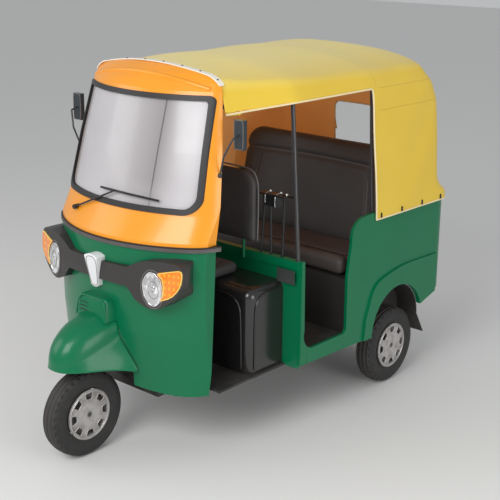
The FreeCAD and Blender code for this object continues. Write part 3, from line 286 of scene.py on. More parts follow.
def tyre(name, x, y, body):
    """A profile turned round the axle, with gaps between blocks pressed in at both shoulders."""
    shape = bmesh.new()
    line = list(TREAD) + [(-across, out) for across, out in reversed(TREAD[:-1])]
    rim = [shape.verts.new((x + across, y, AXLE_Z + out)) for across, out in line]
    edges = [shape.edges.new(pair) for pair in zip(rim, rim[1:])]
    bmesh.ops.spin(shape, geom=rim + edges, cent=(x, y, AXLE_Z), axis=(1, 0, 0), angle=math.tau,
                   steps=TREAD_STEPS, use_merge=True)
    bmesh.ops.recalc_face_normals(shape, faces=shape.faces)
    gaps = []
    for face in shape.faces:
        middle = face.calc_center_median()
        turn = math.atan2(middle.z - AXLE_Z, middle.y - y) / math.tau * TREAD_STEPS
        out = math.hypot(middle.z - AXLE_Z, middle.y - y)
        shoulder = out > SHOULDER_OUT and abs(middle.x - x) > SHOULDER_ACROSS
        if shoulder and int(turn + TREAD_STEPS) % GAP_EVERY == 0:
            gaps.append(face)
    for face in bmesh.ops.extrude_discrete_faces(shape, faces=gaps)["faces"]:
        middle = face.calc_center_median()
        inward = (Vector((middle.x, y, AXLE_Z)) - middle).normalized() * GAP_DEPTH
        bmesh.ops.translate(shape, verts=face.verts, vec=inward)
    item = piece(f"{name}_tyre_tread", shape, body, rubber(f"{name}_rubber", x, y), False)
    for face in item.data.polygons:
        face.use_smooth = face.area > FLAT_AREA
    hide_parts(f"{name}_tyre")


def wheel_paint(name, x, y):
    """Silver paint with turned rings, brake dust towards the rim and a dark hub."""
    finish = Finish(name, Metallic=0.35, Coat_Weight=0.2, Coat_Roughness=0.2)
    out = from_axle(finish, x, y)
    grime = finish.step(finish.noise(26.0, 4.0) + finish.step(out, 0.06, 0.15) * 0.25, 0.45, 0.85)
    hub = finish.line(out, 0.0, 0.022)
    silver = finish.mix(grime, chart(178, 174, 172), chart(128, 122, 118))
    finish.colour(finish.mix(hub, silver, chart(60, 60, 62)))
    finish.roughness(grime * 0.25 + 0.34)
    rings = finish.line(out, 0.027, 0.002) + finish.line(out, 0.123, 0.0025)
    rings = rings + finish.line(out, 0.118, 0.001)
    finish.bump(rings + finish.noise(300.0, 2.0) * 0.1, 0.0015, 0.8)
    return finish.material


LIP_METAL = painted("rolled_lip_silver", chart(205, 203, 202), 0.28, 0.1, Metallic=0.6)
COVER_FACE, WINDOW_COUNT, COVER_RIM_R, COVER_RIM_POINTS = 0.0563, 8, 0.132, 24
WINDOW = ((-0.018, 0.086), (0.018, 0.086), (0.0285, 0.1235), (-0.0285, 0.1235))
LIP_POINTS = (0.14, 0.5, 0.86)
for wheel_name, wheel_x, wheel_y, outside, wheel_body in WHEELS:
    tyre(wheel_name, wheel_x, wheel_y, wheel_body)
    dress(wheel_paint(f"{wheel_name}_wheel_paint", wheel_x, wheel_y), "wheel_silver", f"{wheel_name}_wheel")
    hub = Vector((wheel_x + outside * COVER_FACE, wheel_y, AXLE_Z))
    corners = [Vector((0, across, out)) for across, out in WINDOW]
    loop = [first.lerp(second, share) for first, second in zip(corners, corners[1:] + corners[:1])
            for share in LIP_POINTS]
    lips = []
    for index in range(WINDOW_COUNT):
        turn = Matrix.Rotation(math.tau * index / WINDOW_COUNT, 4, "X")
        lips.append([(turn @ spot) + hub for spot in loop])
    bead(f"{wheel_name}_window_lips", lips, 0.0019, wheel_body, LIP_METAL, True)
    angles = [math.tau * step / COVER_RIM_POINTS for step in range(COVER_RIM_POINTS)]
    ring = [hub + Vector((0, COVER_RIM_R * math.cos(a), COVER_RIM_R * math.sin(a))) for a in angles]
    bead(f"{wheel_name}_cover_rim", [ring], 0.003, wheel_body, LIP_METAL, True)


# ------------------------------------------------------------------ floors
# The driver's and the passengers' floors are pressed steel sheets welded to the chassis. Black ribbed
# rubber mats are glued down on them, worn grey where feet rest.
def ribbed_mat():
    """Ribbed rubber mat, worn in patches."""
    finish = Finish("ribbed_mat")
    ribs = finish.step(finish.maths("SINE", finish.axis("Y") * 330.0), -0.3, 0.4)
    wear = finish.step(finish.noise(5.0, 4.0), 0.4, 0.7)
    finish.colour(finish.mix(wear, chart(42, 41, 41), chart(66, 63, 60)))
    finish.roughness(0.72 - ribs * 0.12)
    finish.bump(ribs + finish.noise(240.0, 3.0) * 0.2, 0.002, 0.7)
    return finish.material


dress(ribbed_mat(), "floor_mat", "cabin_floor", "driver_floor")


# ------------------------------------------------------------------ body panels
# The cab's lower half and the tub behind are pressed steel panels in green enamel, and the cab's upper
# half is orange-yellow. The dashboard, the lamps' bezel, the inner mudguards and the bench's box are black
# mouldings, and a rubber belt covers the joint between the two colours.
GREEN_COLOUR = chart(0, 110, 72)
GREEN = painted("green_enamel", GREEN_COLOUR, 0.30, dust=0.05, dust_top=0.5, peel=0.12, Coat_Weight=0.15,
                Coat_Roughness=0.12, Specular_IOR_Level=0.3)
dress(GREEN, "green_paint", "front_mudguard", "engine_lid", "rear_panel", "front_cowl")


SILL_TOP, TUB_SEAM_Z = 0.52, 1.098
FRONT_JOINT_Y, REAR_JOINT_Y = -0.1, 0.232


def panel_green():
    """Green enamel with the two joint lines of the sill and the seam along the tub's top."""
    finish = Finish("green_panels", Coat_Weight=0.15, Coat_Roughness=0.12, Specular_IOR_Level=0.3)
    mottle = finish.noise(3.0, 3.0)
    cloud = finish.noise(14.0, 4.0, 0.6)
    height, along = finish.axis("Z"), finish.axis("Y")
    side = finish.step(finish.maths("ABSOLUTE", finish.axis("X")), 0.7, 0.71)
    low = finish.step(height, SILL_TOP, SILL_TOP - 0.02)
    joints = finish.line(along, FRONT_JOINT_Y, 0.003) + finish.line(along, REAR_JOINT_Y, 0.003)
    joints = joints * low * side
    seam = finish.line(height, TUB_SEAM_Z, 0.0022) * side * finish.step(along, 0.47, 0.48)
    dusty = finish.step(height, 0.5, 0.15) * finish.step(cloud, 0.35, 0.7) * 0.06
    paint = finish.mix(mottle, GREEN_COLOUR, shaded(GREEN_COLOUR, 0.84))
    finish.colour(finish.mix(joints, finish.mix(dusty, paint, ROAD_DUST), chart(10, 40, 28)))
    finish.roughness(cloud * 0.1 + (dusty * 0.5 + 0.26))
    finish.bump(finish.noise(260.0, 2.0) * 0.03 + (seam - joints), 0.0018, 0.7)
    return finish.material


dress(panel_green(), "green_paint", "side_panels", "partition_panel")
YELLOW = painted("orange_yellow_enamel", chart(249, 158, 36), 0.3, 0.0, peel=0.1, Coat_Weight=0.2,
                 Coat_Roughness=0.1)
dress(YELLOW, "yellow_paint", "windscreen_surround")
MOULDED = painted("black_moulding", chart(56, 53, 52), 0.46, 0.2, peel=0.6)
dress(MOULDED, "black_trim", "lamp_bezel", "dashboard")
dress(MOULDED, "black_moulding", "rear_mudguards", "bench_box")


BELT_GROOVE_Z = 1.1795


def belt_rubber():
    """Extruded rubber belt: a grey band with a groove along it, and painted shadow, black, above the groove.
    """
    finish = Finish("belt_rubber")
    height = finish.axis("Z")
    # Painted shadow: the belt is black above its groove, where the seam's shadow falls.
    seam_shadow = finish.step(height, BELT_GROOVE_Z, BELT_GROOVE_Z + 0.0017)
    cloud = finish.noise(18.0, 3.0)
    band = finish.mix(cloud, chart(92, 87, 85), chart(74, 70, 69))
    finish.colour(finish.mix(seam_shadow, band, chart(30, 28, 28)))
    finish.roughness(cloud * 0.1 + 0.45)
    finish.bump(finish.noise(300.0, 2.0) * 0.1 - finish.line(height, BELT_GROOVE_Z, 0.002), 0.0015, 0.8)
    return finish.material


dress(belt_rubber(), "black_trim", "belt_moulding")


# ------------------------------------------------------------------ windscreen and wiper
# One pane of laminated glass is held in a black rubber gasket round the cab's opening. It reflects the
# pale surroundings, so it is made opaque. The wiper's steel arm and blade turn on a pivot below it.
SEAL = painted("seal_rubber", chart(46, 45, 46), 0.5, 0.0, peel=0.5)
dress(SEAL, "seal_rubber", "windscreen_seal")


STREAK_X = 0.238


def screen():
    """A pane painted with pale reflections: soft upright bands, one thin dark streak, a lighter foot and a
    darker, warmer far edge.
    """
    finish = Finish("laminated_glass", Coat_Weight=0.15, Coat_Roughness=0.08, Specular_IOR_Level=0.4)
    across, height = finish.axis("X"), finish.axis("Z")
    band = finish.step(across, -0.2, 0.235) * finish.step(across, 0.42, 0.245)
    far = finish.step(across, -0.40, -0.455)
    # Painted reflection: this noise mottles the pane's pale colour.
    reflection_mottle = finish.noise(5.0, 3.0)
    pane = finish.mix(reflection_mottle, chart(190, 186, 188), chart(178, 174, 177))
    pane = finish.mix(band * band * 0.9, pane, chart(140, 135, 136))
    pane = finish.mix(finish.line(across, STREAK_X, 0.005) * 0.8, pane, chart(84, 80, 82))
    pane = finish.mix(finish.step(height, 1.5, 1.38) * 0.25, pane, chart(208, 205, 207))
    finish.colour(finish.mix(far * 0.6, pane, chart(150, 132, 118)))
    finish.roughness(reflection_mottle * 0.1 + 0.16)
    finish.bump(finish.noise(4.0, 2.0), 0.002, 0.05)
    return finish.material


dress(screen(), "screen_glass", "windscreen_glass")
SATIN_BLACK = painted("satin_black_steel", chart(34, 34, 35), 0.34, 0.0)
dress(SATIN_BLACK, "black_steel", "wiper")


# ------------------------------------------------------------------ lamps and badge
# Each headlamp is a chromed bowl of facets behind a clear lens, in a black moulded bezel. An amber
# lens wraps the bezel's outer end. The shield between the lamps is bare, bright moulding.
def surface(*names):
    """A tree for finding where rays meet these CAD pieces."""
    shape = bmesh.new()
    for name in names:
        shape.from_mesh(cad[name].data)
    tree = BVHTree.FromBMesh(shape)
    shape.free()
    return tree


def facets():
    """A chromed bowl cut in facets, seen through its lens."""
    finish = Finish("lamp_facets", Metallic=0.55, Coat_Weight=1.0, Coat_Roughness=0.02)
    tall = finish.stretched(1.0, 1.0, 0.55)
    cell = finish.add("ShaderNodeTexVoronoi", {}, {"Vector": tall, "Scale": 42.0}, "Color")
    tone = finish.axis("X", cell)
    finish.colour(finish.mix(tone, chart(246, 246, 246), chart(170, 170, 172)))
    finish.roughness(tone * 0.2 + 0.08)
    finish.bump(tone, 0.012, 0.8)
    return finish.material


def moulded_lens(name, clear, deep, scale, black_from=(5.0, 6.0)):
    """Coloured lens with a moulded grid of prisms inside, and a black housing behind a place along Y."""
    finish = Finish(name, Coat_Weight=0.8, Coat_Roughness=0.04)
    grid_up = finish.step(finish.maths("SINE", finish.axis("Z") * scale), -0.1, 0.5)
    grid_across = finish.step(finish.maths("SINE", (finish.axis("X") + finish.axis("Y")) * scale), -0.1, 0.5)
    grid = grid_up * grid_across
    lens = finish.mix(grid, deep, clear)
    finish.colour(finish.mix(finish.step(finish.axis("Y"), *black_from), lens, chart(24, 22, 22)))
    finish.roughness(grid * 0.1 + 0.1)
    finish.bump(grid, 0.0015, 0.5)
    return finish.material


dress(facets(), "lamp_lens", "headlamps")
AMBER = moulded_lens("amber_lens", chart(248, 164, 30), chart(236, 128, 14), 190.0, (-0.905, -0.90))
dress(AMBER, "amber_lens", "front_indicators")
CHROME = painted("chrome_ring", chart(222, 222, 224), 0.12, 0.0, peel=0.1, Metallic=0.9)
RIM_GREY = painted("bezel_rim", chart(112, 107, 105), 0.35, 0.0)
SOCKET_BLACK = painted("socket_black", chart(20, 19, 19), 0.5, 0.0)
AMBER_EDGE = painted("amber_edge", chart(250, 214, 110), 0.2, 0.0)
front_faces = surface("headlamps", "lamp_bezel", "front_indicators", "badge_shield")
BACKWARDS = Vector((0, 1, 0))
LAMP_X, LAMP_Z, LAMP_LEAN, OVAL_POINTS = 0.388, 0.980, math.radians(6), 32
BULB_X, BULB_Z, BULB_R = 0.392, 0.984, 0.0145
# The left indicator cover's outline, x and z, clockwise from its upper inner corner.
COVER_OUTLINE = ((0.418, 1.066), (0.450, 1.078), (0.490, 1.089), (0.530, 1.098), (0.546, 1.096),
                 (0.5525, 1.083), (0.5535, 1.060), (0.551, 1.034), (0.543, 1.010), (0.528, 0.985),
                 (0.508, 0.962), (0.482, 0.944), (0.452, 0.932), (0.436, 0.930), (0.449, 0.955),
                 (0.454, 0.985), (0.452, 1.015), (0.443, 1.043))
POD_END_X, POD_TOP_Z, WRAP = 0.546, 1.09, 0.3
COVER_THICK, COVER_EDGE, COVER_RISE = 0.0045, 0.0045, 0.0012


def on_front(x, z, proud=0.0):
    """Where a ray from ahead meets the lamp unit."""
    hit = front_faces.ray_cast(Vector((x, -1.4, z)), BACKWARDS)[0]
    return None if hit is None else hit - Vector((0, proud, 0))


def lamp_oval(side, wide, tall, dx=0.0, dz=0.0, proud=0.001):
    """An oval round one lamp's middle, leaning as the lamp does, laid on the unit's face."""
    lean = LAMP_LEAN * side
    spots = []
    for step in range(OVAL_POINTS):
        a = math.tau * step / OVAL_POINTS
        x, z = wide * math.cos(a), tall * math.sin(a)
        x, z = x * math.cos(lean) - z * math.sin(lean), x * math.sin(lean) + z * math.cos(lean)
        spot = on_front(side * LAMP_X + x + side * dx, LAMP_Z + z + dz, proud)
        if spot:
            spots.append(spot)
    return spots


def cover_corner(side, x, z):
    """A corner of an indicator cover: on the pod's face, and bent back round its end beyond it."""
    past, above = max(x - POD_END_X, 0), max(z - POD_TOP_Z, 0)
    return on_front(side * min(x, POD_END_X), min(z, POD_TOP_Z)) + Vector((side * past, WRAP * past, above))


for side, side_name in ((1, "left"), (-1, "right")):
    bead(f"{side_name}_lamp_ring", [lamp_oval(side, 0.054, 0.088)], 0.003, "vehicle",
         CHROME, True)
    # The grey rim bead is a painted highlight along the bezel's glossy black rim.
    bead(f"{side_name}_lamp_rim", [lamp_oval(side, 0.0655, 0.101)], 0.0024, "vehicle",
         RIM_GREY, True)
    bead(f"{side_name}_lamp_inner_ring", [lamp_oval(side, 0.030, 0.045, 0.006, -0.004, 0.0005)], 0.0013,
         "vehicle", RIM_GREY, True)
    bulb = bmesh.new()
    bmesh.ops.create_uvsphere(bulb, u_segments=20, v_segments=12, radius=BULB_R)
    bmesh.ops.scale(bulb, vec=(1.0, 0.35, 1.2), verts=bulb.verts)
    bmesh.ops.translate(bulb, vec=on_front(side * BULB_X, BULB_Z), verts=bulb.verts)
    piece(f"{side_name}_lamp_bulb", bulb, "vehicle", CHROME)
    lens = bmesh.new()
    base = lens.faces.new([lens.verts.new(cover_corner(side, x, z)) for x, z in COVER_OUTLINE])
    grown = bmesh.ops.extrude_face_region(lens, geom=[base])["geom"]
    risen = [item for item in grown if isinstance(item, bmesh.types.BMVert)]
    bmesh.ops.translate(lens, vec=(0, -COVER_THICK, 0), verts=risen)
    front = [item for item in grown if isinstance(item, bmesh.types.BMFace)][0]
    bmesh.ops.inset_region(lens, faces=[front], thickness=COVER_EDGE, depth=COVER_RISE)
    for face in lens.faces:
        face.material_index = 0 if face is front else 1
    bmesh.ops.recalc_face_normals(lens, faces=lens.faces)
    cover = piece(f"{side_name}_indicator_cover", lens, "vehicle", AMBER, False)
    cover.data.materials.append(AMBER_EDGE)

BADGE = painted("badge_white", chart(236, 236, 238), 0.3, 0.0, peel=0.1, Coat_Weight=0.3)
dress(BADGE, "silver_trim", "badge_shield")
SHIELD = ((-0.041, 1.080), (0, 1.093), (0.041, 1.080), (0.036, 1.02), (0.029, 0.965), (0.022, 0.930),
          (0, 0.925), (-0.022, 0.930), (-0.029, 0.965), (-0.036, 1.02))
badge_rim = [spot for spot in (on_front(x, z, 0.0004) for x, z in SHIELD) if spot]
bead("badge_rim", [badge_rim], 0.0018, "vehicle", RIM_GREY, True)


# ------------------------------------------------------------------ mudguard
# The front mudguard is one deep steel pressing: a rounded dome with a crease down to its lip. A square
# scoop with three louvre slots is welded on behind, and the scoop's edge is rolled.
# The sections, nose first: back from the axle, half widths at the shoulder and at the foot, and the
# heights of the crease, the top and the lip.
GUARD = ((-0.189, 0.012, 0.018, 0.545, 0.560, 0.532), (-0.183, 0.036, 0.042, 0.547, 0.598, 0.530),
         (-0.168, 0.060, 0.068, 0.551, 0.634, 0.529), (-0.145, 0.082, 0.091, 0.561, 0.668, 0.528),
         (-0.120, 0.098, 0.112, 0.572, 0.695, 0.527), (-0.080, 0.113, 0.133, 0.588, 0.724, 0.524),
         (-0.040, 0.124, 0.150, 0.605, 0.748, 0.520), (0.010, 0.131, 0.170, 0.622, 0.767, 0.515),
         (0.060, 0.136, 0.190, 0.640, 0.782, 0.508), (0.110, 0.139, 0.222, 0.655, 0.792, 0.496),
         (0.142, 0.140, 0.262, 0.667, 0.799, 0.484))
GUARD_ACROSS, GUARD_STEEL = 28, 0.004
FLANK_SHARE, FLANK_SWELL, DOME_ACROSS, DOME_UP = 0.36, 1.15, 0.85, 0.9
SWEEP_FROM, SWEEP = 6, 0.5
NOSE_Y = -1.3142


def guard_point(section, share):
    """A point of one upright section: the flank to its crease, then the dome."""
    back, shoulder, foot, crease_z, top, lip_z = section
    side = -1 if share < 0.5 else 1
    part = min(share, 1 - share) * 2
    if part < FLANK_SHARE:
        up = part / FLANK_SHARE
        x = foot + (shoulder - foot) * up ** FLANK_SWELL
        z = lip_z + (crease_z - lip_z) * up
    else:
        a = (part - FLANK_SHARE) / (1 - FLANK_SHARE) * math.pi / 2
        x = shoulder * math.cos(a) ** DOME_ACROSS
        z = crease_z + (top - crease_z) * math.sin(a) ** DOME_UP
    return Vector((side * x, FRONT_AXLE_Y + back, z))


guard_shape = bmesh.new()
bmesh.ops.create_grid(guard_shape, x_segments=GUARD_ACROSS, y_segments=len(GUARD) - 1, size=0.5)
for vert in guard_shape.verts:
    place = round((vert.co.y + 0.5) * (len(GUARD) - 1))
    spot = guard_point(GUARD[place], min(1.0, max(0.0, vert.co.x + 0.5)))
    spot.y += SWEEP * spot.x ** 2 * max(0, place - SWEEP_FROM) / (len(GUARD) - 1 - SWEEP_FROM)
    vert.co = spot
for vert in guard_shape.verts:
    if vert.co.y < NOSE_Y + 0.0003:
        vert.co = Vector((0, NOSE_Y, vert.co.z))
bmesh.ops.remove_doubles(guard_shape, verts=guard_shape.verts, dist=0.0012)
bmesh.ops.recalc_face_normals(guard_shape, faces=guard_shape.faces)
crown_face = max(guard_shape.faces, key=lambda face: face.calc_center_median().z)
if crown_face.normal.z < 0:
    bmesh.ops.reverse_faces(guard_shape, faces=guard_shape.faces)
guard_skin = piece("mudguard_pressing", guard_shape, "vehicle", GREEN)
wall = guard_skin.modifiers.new("steel_thickness", "SOLIDIFY")
wall.thickness = GUARD_STEEL
wall.offset = -1.0
smooth = guard_skin.modifiers.new("smooth", "SUBSURF")
smooth.levels = smooth.render_levels = 2
# The scoop's box, at its top and at its foot: half width, front and height.
SCOOP_TOP, SCOOP_FOOT = (0.100, -1.028, 0.868), (0.122, -1.052, 0.742)
SCOOP_BACK_Y, SCOOP_BEND = -0.930, 0.014
scoop = bmesh.new()
bmesh.ops.create_cube(scoop, size=1.0)
for vert in scoop.verts:
    half, front, height = SCOOP_TOP if vert.co.z > 0 else SCOOP_FOOT
    vert.co = Vector((math.copysign(half, vert.co.x), front if vert.co.y < 0 else SCOOP_BACK_Y, height))
bmesh.ops.bevel(scoop, geom=scoop.edges[:], offset=SCOOP_BEND, affect="EDGES", segments=4, profile=0.5,
                material=-1)
piece("mudguard_scoop", scoop, "vehicle", GREEN)
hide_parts("front_mudguard")


def louvre(z):
    """One slot in the scoop's front, on its right: five points 15 mm apart, bowed down at the ends."""
    y = -1.050 + (z - SCOOP_FOOT[2]) * 0.19 - 0.0005
    return [(x / 1000, y, z - 0.004 * ((x + 62) / 30) ** 2) for x in range(-92, -31, 15)]


def across(half):
    """A run from one side to the other: this half, and then its mirror image back out."""
    return half + [(-x, y, z) for x, y, z in reversed(half)]


# The louvre slots are black cords: painted shade inside the slots' openings.
bead("scoop_slot_shadows", [louvre(z) for z in (0.786, 0.806, 0.826)], 0.0032, "vehicle",
     SOCKET_BLACK)
LIP_HALF = [(-0.118, -1.046, 0.752), (-0.112, -1.044, 0.80), (-0.098, -1.034, 0.855), (-0.06, -1.030, 0.864)]
bead("scoop_lip", [across(LIP_HALF)], 0.004, "vehicle", GREEN)


# ------------------------------------------------------------------ handlebar and meter stand
# The handlebar is bent steel tube with rubber grips pushed on. The fare meter's stand is welded rod behind
# the driver, with a plated clamp and screw knobs at its top. The stand carries no meter.
dress(SATIN_BLACK, "black_steel", "handlebar", "meter_stand")
dress(MOULDED, "black_moulding", "handlebar_grips")
KNOBS = (((0.585, -0.155, 1.358), 0.009), ((0.47, -0.155, 1.362), 0.009), ((0.545, -0.155, 1.362), 0.008))
knob = bmesh.new()
for place, radius in KNOBS:
    made = bmesh.ops.create_uvsphere(knob, u_segments=16, v_segments=10, radius=radius)
    bmesh.ops.translate(knob, vec=place, verts=made["verts"])
piece("meter_knobs", knob, "vehicle", CHROME)
clamp = [[(x, -0.182, foot), (x, -0.186, 1.34), (x, -0.170, 1.356), (x, -0.130, 1.356)]
         for x, foot in ((0.455, 1.30), (0.525, 1.285))]
bead("meter_clamp", clamp, 0.0025, "vehicle", CHROME)


# ------------------------------------------------------------------ mirrors
# Two rear-view mirrors stand out on bent steel rods from ball mounts on the cab. Each is a moulded shell
# that holds a flat mirror, with a grey rim round it.
MIRROR_X, MIRROR_Z = 0.620, 1.745
MIRROR_GLASS_Y, MIRROR_RIM_Y = -0.5535, -0.5805
MIRROR_SIZE, MIRROR_CORNER = (0.056, 0.003, 0.142), 0.012
RIM_HALF, RIM_TALL = 0.030, 0.073
# The rim's outline, as shares of its half width and half height.
RIM_OUTLINE = ((-0.7, -1), (0, -1), (0.7, -1), (1, -0.85), (1, 0), (1, 0.85), (0.7, 1), (0, 1), (-0.7, 1),
               (-1, 0.85), (-1, 0), (-1, -0.85))
MIRROR_SHELL = painted("mirror_shell", chart(52, 58, 63), 0.3, 0.0)
dress(MIRROR_SHELL, "black_trim", "mirrors")
MIRROR_GLASS = painted("mirror_glass", chart(120, 130, 136), 0.08, 0.0, peel=0.05, Metallic=0.8)
for side, side_name in ((1, "left"), (-1, "right")):
    glass = bmesh.new()
    bmesh.ops.create_cube(glass, size=1.0)
    bmesh.ops.scale(glass, vec=MIRROR_SIZE, verts=glass.verts)
    corners = [edge for edge in glass.edges if abs((edge.verts[0].co - edge.verts[1].co).y) > 0.002]
    bmesh.ops.bevel(glass, geom=corners, offset=MIRROR_CORNER, affect="EDGES", segments=4, profile=0.5,
                    material=-1)
    bmesh.ops.translate(glass, vec=(side * MIRROR_X, MIRROR_GLASS_Y, MIRROR_Z), verts=glass.verts)
    piece(f"{side_name}_mirror_glass", glass, "vehicle", MIRROR_GLASS, False)
    outline = [Vector((side * MIRROR_X + RIM_HALF * x, MIRROR_RIM_Y, MIRROR_Z + RIM_TALL * z))
               for x, z in RIM_OUTLINE]
    bead(f"{side_name}_mirror_rim", [outline], 0.0022, "vehicle", RIM_GREY, True)


# ------------------------------------------------------------------ seats
# The driver's seat and the bench are foam under grained black vinyl, sewn with piped seams. The foam
# swells against the cover, so each pad is crowned, with sides drawn in between its corners.
def vinyl(name, colour):
    """Grained vinyl: fine pebble, soft creases and a patchy sheen."""
    finish = Finish(name, Specular_IOR_Level=0.45)
    cloud = finish.noise(5.0, 4.0, 0.6)
    finish.colour(finish.mix(cloud, colour, shaded(colour, 0.78)))
    finish.roughness(cloud * 0.18 + 0.42)
    finish.bump(finish.cells(620.0) * 0.5 + finish.noise(34.0, 4.0, 0.6) * 0.6, 0.0013, 0.6)
    return finish.material


VINYL = vinyl("seat_vinyl", chart(68, 65, 65))
# The bench cushion gets a lighter, warmer copy of the seat vinyl: a painted sheen where people sit.
VINYL_PAINTED_SHEEN = vinyl("bench_vinyl_painted_sheen", chart(80, 73, 71))
PIPING_DARK = painted("vinyl_piping", chart(44, 42, 42), 0.4, 0.0)
# Pale grey piping: a painted highlight along the piped seams.
PIPING_HIGHLIGHT = painted("painted_piping_highlight", chart(104, 101, 101), 0.4, 0.0)
FOAM_PRESSURE, SWELL_FRAMES, QUICK_VOXELS = 4.0, 20, 1.6


def slab_of_foam(low, high, soft, corners=0.0, lean=0.0):
    """A block from its low corner to its high one, with softened edges and, where corners is given, its
    upper end corners rounded to that radius. It leans back by lean for each metre up."""
    shape = bmesh.new()
    bmesh.ops.create_cube(shape, size=1.0)
    size = Vector(high) - Vector(low)
    bmesh.ops.scale(shape, vec=size, verts=shape.verts)
    bmesh.ops.translate(shape, vec=(Vector(high) + Vector(low)) / 2, verts=shape.verts)
    if corners:
        tops = [edge for edge in shape.edges if all(vert.co.z > high[2] - 0.001 for vert in edge.verts)
                and abs(edge.verts[0].co.y - edge.verts[1].co.y) > 0.01]
        bmesh.ops.bevel(shape, geom=tops, offset=corners, affect="EDGES", segments=8, profile=0.5,
                        material=-1)
    sharp = [edge for edge in shape.edges if edge.calc_face_angle() > 1.0]
    bmesh.ops.bevel(shape, geom=sharp, offset=soft, affect="EDGES", segments=4, profile=0.5, material=-1)
    for vert in shape.verts:
        vert.co.y += lean * (vert.co.z - low[2])
    return shape


def pad(name, node, shape, material, cap, voxel, grooves=()):
    """A padded piece: the block is swollen by cloth simulation, by cap at most, then pressed in along
    its seams."""
    item = piece(name, shape, "vehicle", material)
    remesh = item.modifiers.new("even_mesh", "REMESH")
    remesh.mode = "VOXEL"
    remesh.voxel_size = voxel
    remesh.use_smooth_shade = True
    settle(item)
    before = [vert.co.copy() for vert in item.data.vertices]
    swell = item.modifiers.new("swell", "CLOTH")
    swell.settings.use_pressure = True
    swell.settings.uniform_pressure_force = FOAM_PRESSURE
    swell.settings.effector_weights.gravity = 0.0
    for step in range(1, SWELL_FRAMES + 1):
        bpy.context.scene.frame_set(step)
    settle(item)
    bpy.context.scene.frame_set(1)
    for vert, start in zip(item.data.vertices, before):
        move = vert.co - start
        if move.length > cap:
            vert.co = start + move * (cap / move.length)
    for groove in grooves:
        for vert in item.data.vertices:
            near = groove(vert.co)
            if near:
                vert.co = vert.co - vert.normal * near
    for face in item.data.polygons:
        face.use_smooth = True
    fine = item.modifiers.new("fine", "SUBSURF")
    fine.levels = fine.render_levels = 1
    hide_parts(node)
    return item


def settle(item):
    """Makes the piece's modifiers part of its mesh."""
    seen = item.evaluated_get(bpy.context.evaluated_depsgraph_get())
    mesh = bpy.data.meshes.new_from_object(seen)
    mesh.materials.clear()
    mesh.materials.append(item.data.materials[0])
    item.modifiers.clear()
    item.data = mesh


def crease(distance, width, depth):
    """How far a seam at this distance presses the cover in."""
    return depth * math.exp(-(distance / width) ** 2)


FRONT_SEAM_Y = 0.352
ROLL_SEAM_Z, ROLL_SEAM_BOW = 1.345, 0.02
PANEL_HALF, PANEL_SPREAD = 0.43, 0.07


def bench_roll(spot):
    """The roll along the bench cushion's front edge."""
    if spot.z > 0.87:
        return crease(spot.y - FRONT_SEAM_Y, 0.014, 0.010)
    return 0.0


def back_seams(spot):
    """The bench backrest's top roll and its sewn middle panel, on its front only."""
    depth = 0.0
    if spot.y < 0.725 + (spot.z - 0.8) * 0.24:
        roll = ROLL_SEAM_Z - ROLL_SEAM_BOW * (abs(spot.x) / 0.6) ** 2
        depth = crease(spot.z - roll, 0.016, 0.013)
        edge = PANEL_HALF + PANEL_SPREAD * (1.33 - spot.z) / 0.5
        if spot.z < 1.33:
            depth += crease(abs(spot.x) - edge, 0.014, 0.008)
    return depth


BOX_GLOSS = painted("glossy_moulding", chart(40, 39, 39), 0.22, dust=0.25, dust_top=0.5, peel=0.35,
                    Coat_Weight=0.4, Coat_Roughness=0.15)
dress(BOX_GLOSS, "black_moulding", "driver_seat_box")
bench_foam = slab_of_foam((-0.647, 0.279, 0.806), (0.647, 0.666, 0.906), soft=0.034)
pad("bench_seat_pad", "bench_cushion", bench_foam, VINYL_PAINTED_SHEEN, cap=0.010, voxel=0.011,
    grooves=[bench_roll])
bench_back_foam = slab_of_foam((-0.592, 0.688, 0.808), (0.592, 0.772, 1.468), soft=0.028, corners=0.10,
                               lean=0.243)
back_pad = pad("bench_back_pad", "bench_backrest", bench_back_foam, VINYL, cap=0.012, voxel=0.012,
               grooves=[back_seams])
driver_foam = slab_of_foam((-0.323, -0.568, 0.885), (0.323, -0.237, 0.946), soft=0.024)
pad("driver_seat_pad", "driver_cushion", driver_foam, VINYL, cap=0.008, voxel=0.008)
driver_back_foam = slab_of_foam((-0.432, -0.245, 1.072), (0.432, -0.198, 1.478), soft=0.02, corners=0.09)
pad("driver_back_pad", "driver_backrest", driver_back_foam, VINYL, cap=0.007, voxel=0.008)

back_cover = BVHTree.FromPolygons([vert.co for vert in back_pad.data.vertices],
                                  [face.vertices for face in back_pad.data.polygons])
seams = [[(x / 100, ROLL_SEAM_Z - ROLL_SEAM_BOW * (x / 60) ** 2) for x in range(-54, 55, 6)]]
for sign in (-1, 1):
    seams.append([(sign * (PANEL_HALF + PANEL_SPREAD * step / 8), 1.325 - 0.5 * step / 8)
                  for step in range(9)])
runs = []
for seam in seams:
    hits = [back_cover.ray_cast(Vector((x, 0.4, z)), BACKWARDS)[0] for x, z in seam]
    runs.append([hit + Vector((0, 0.0005, 0)) for hit in hits if hit])
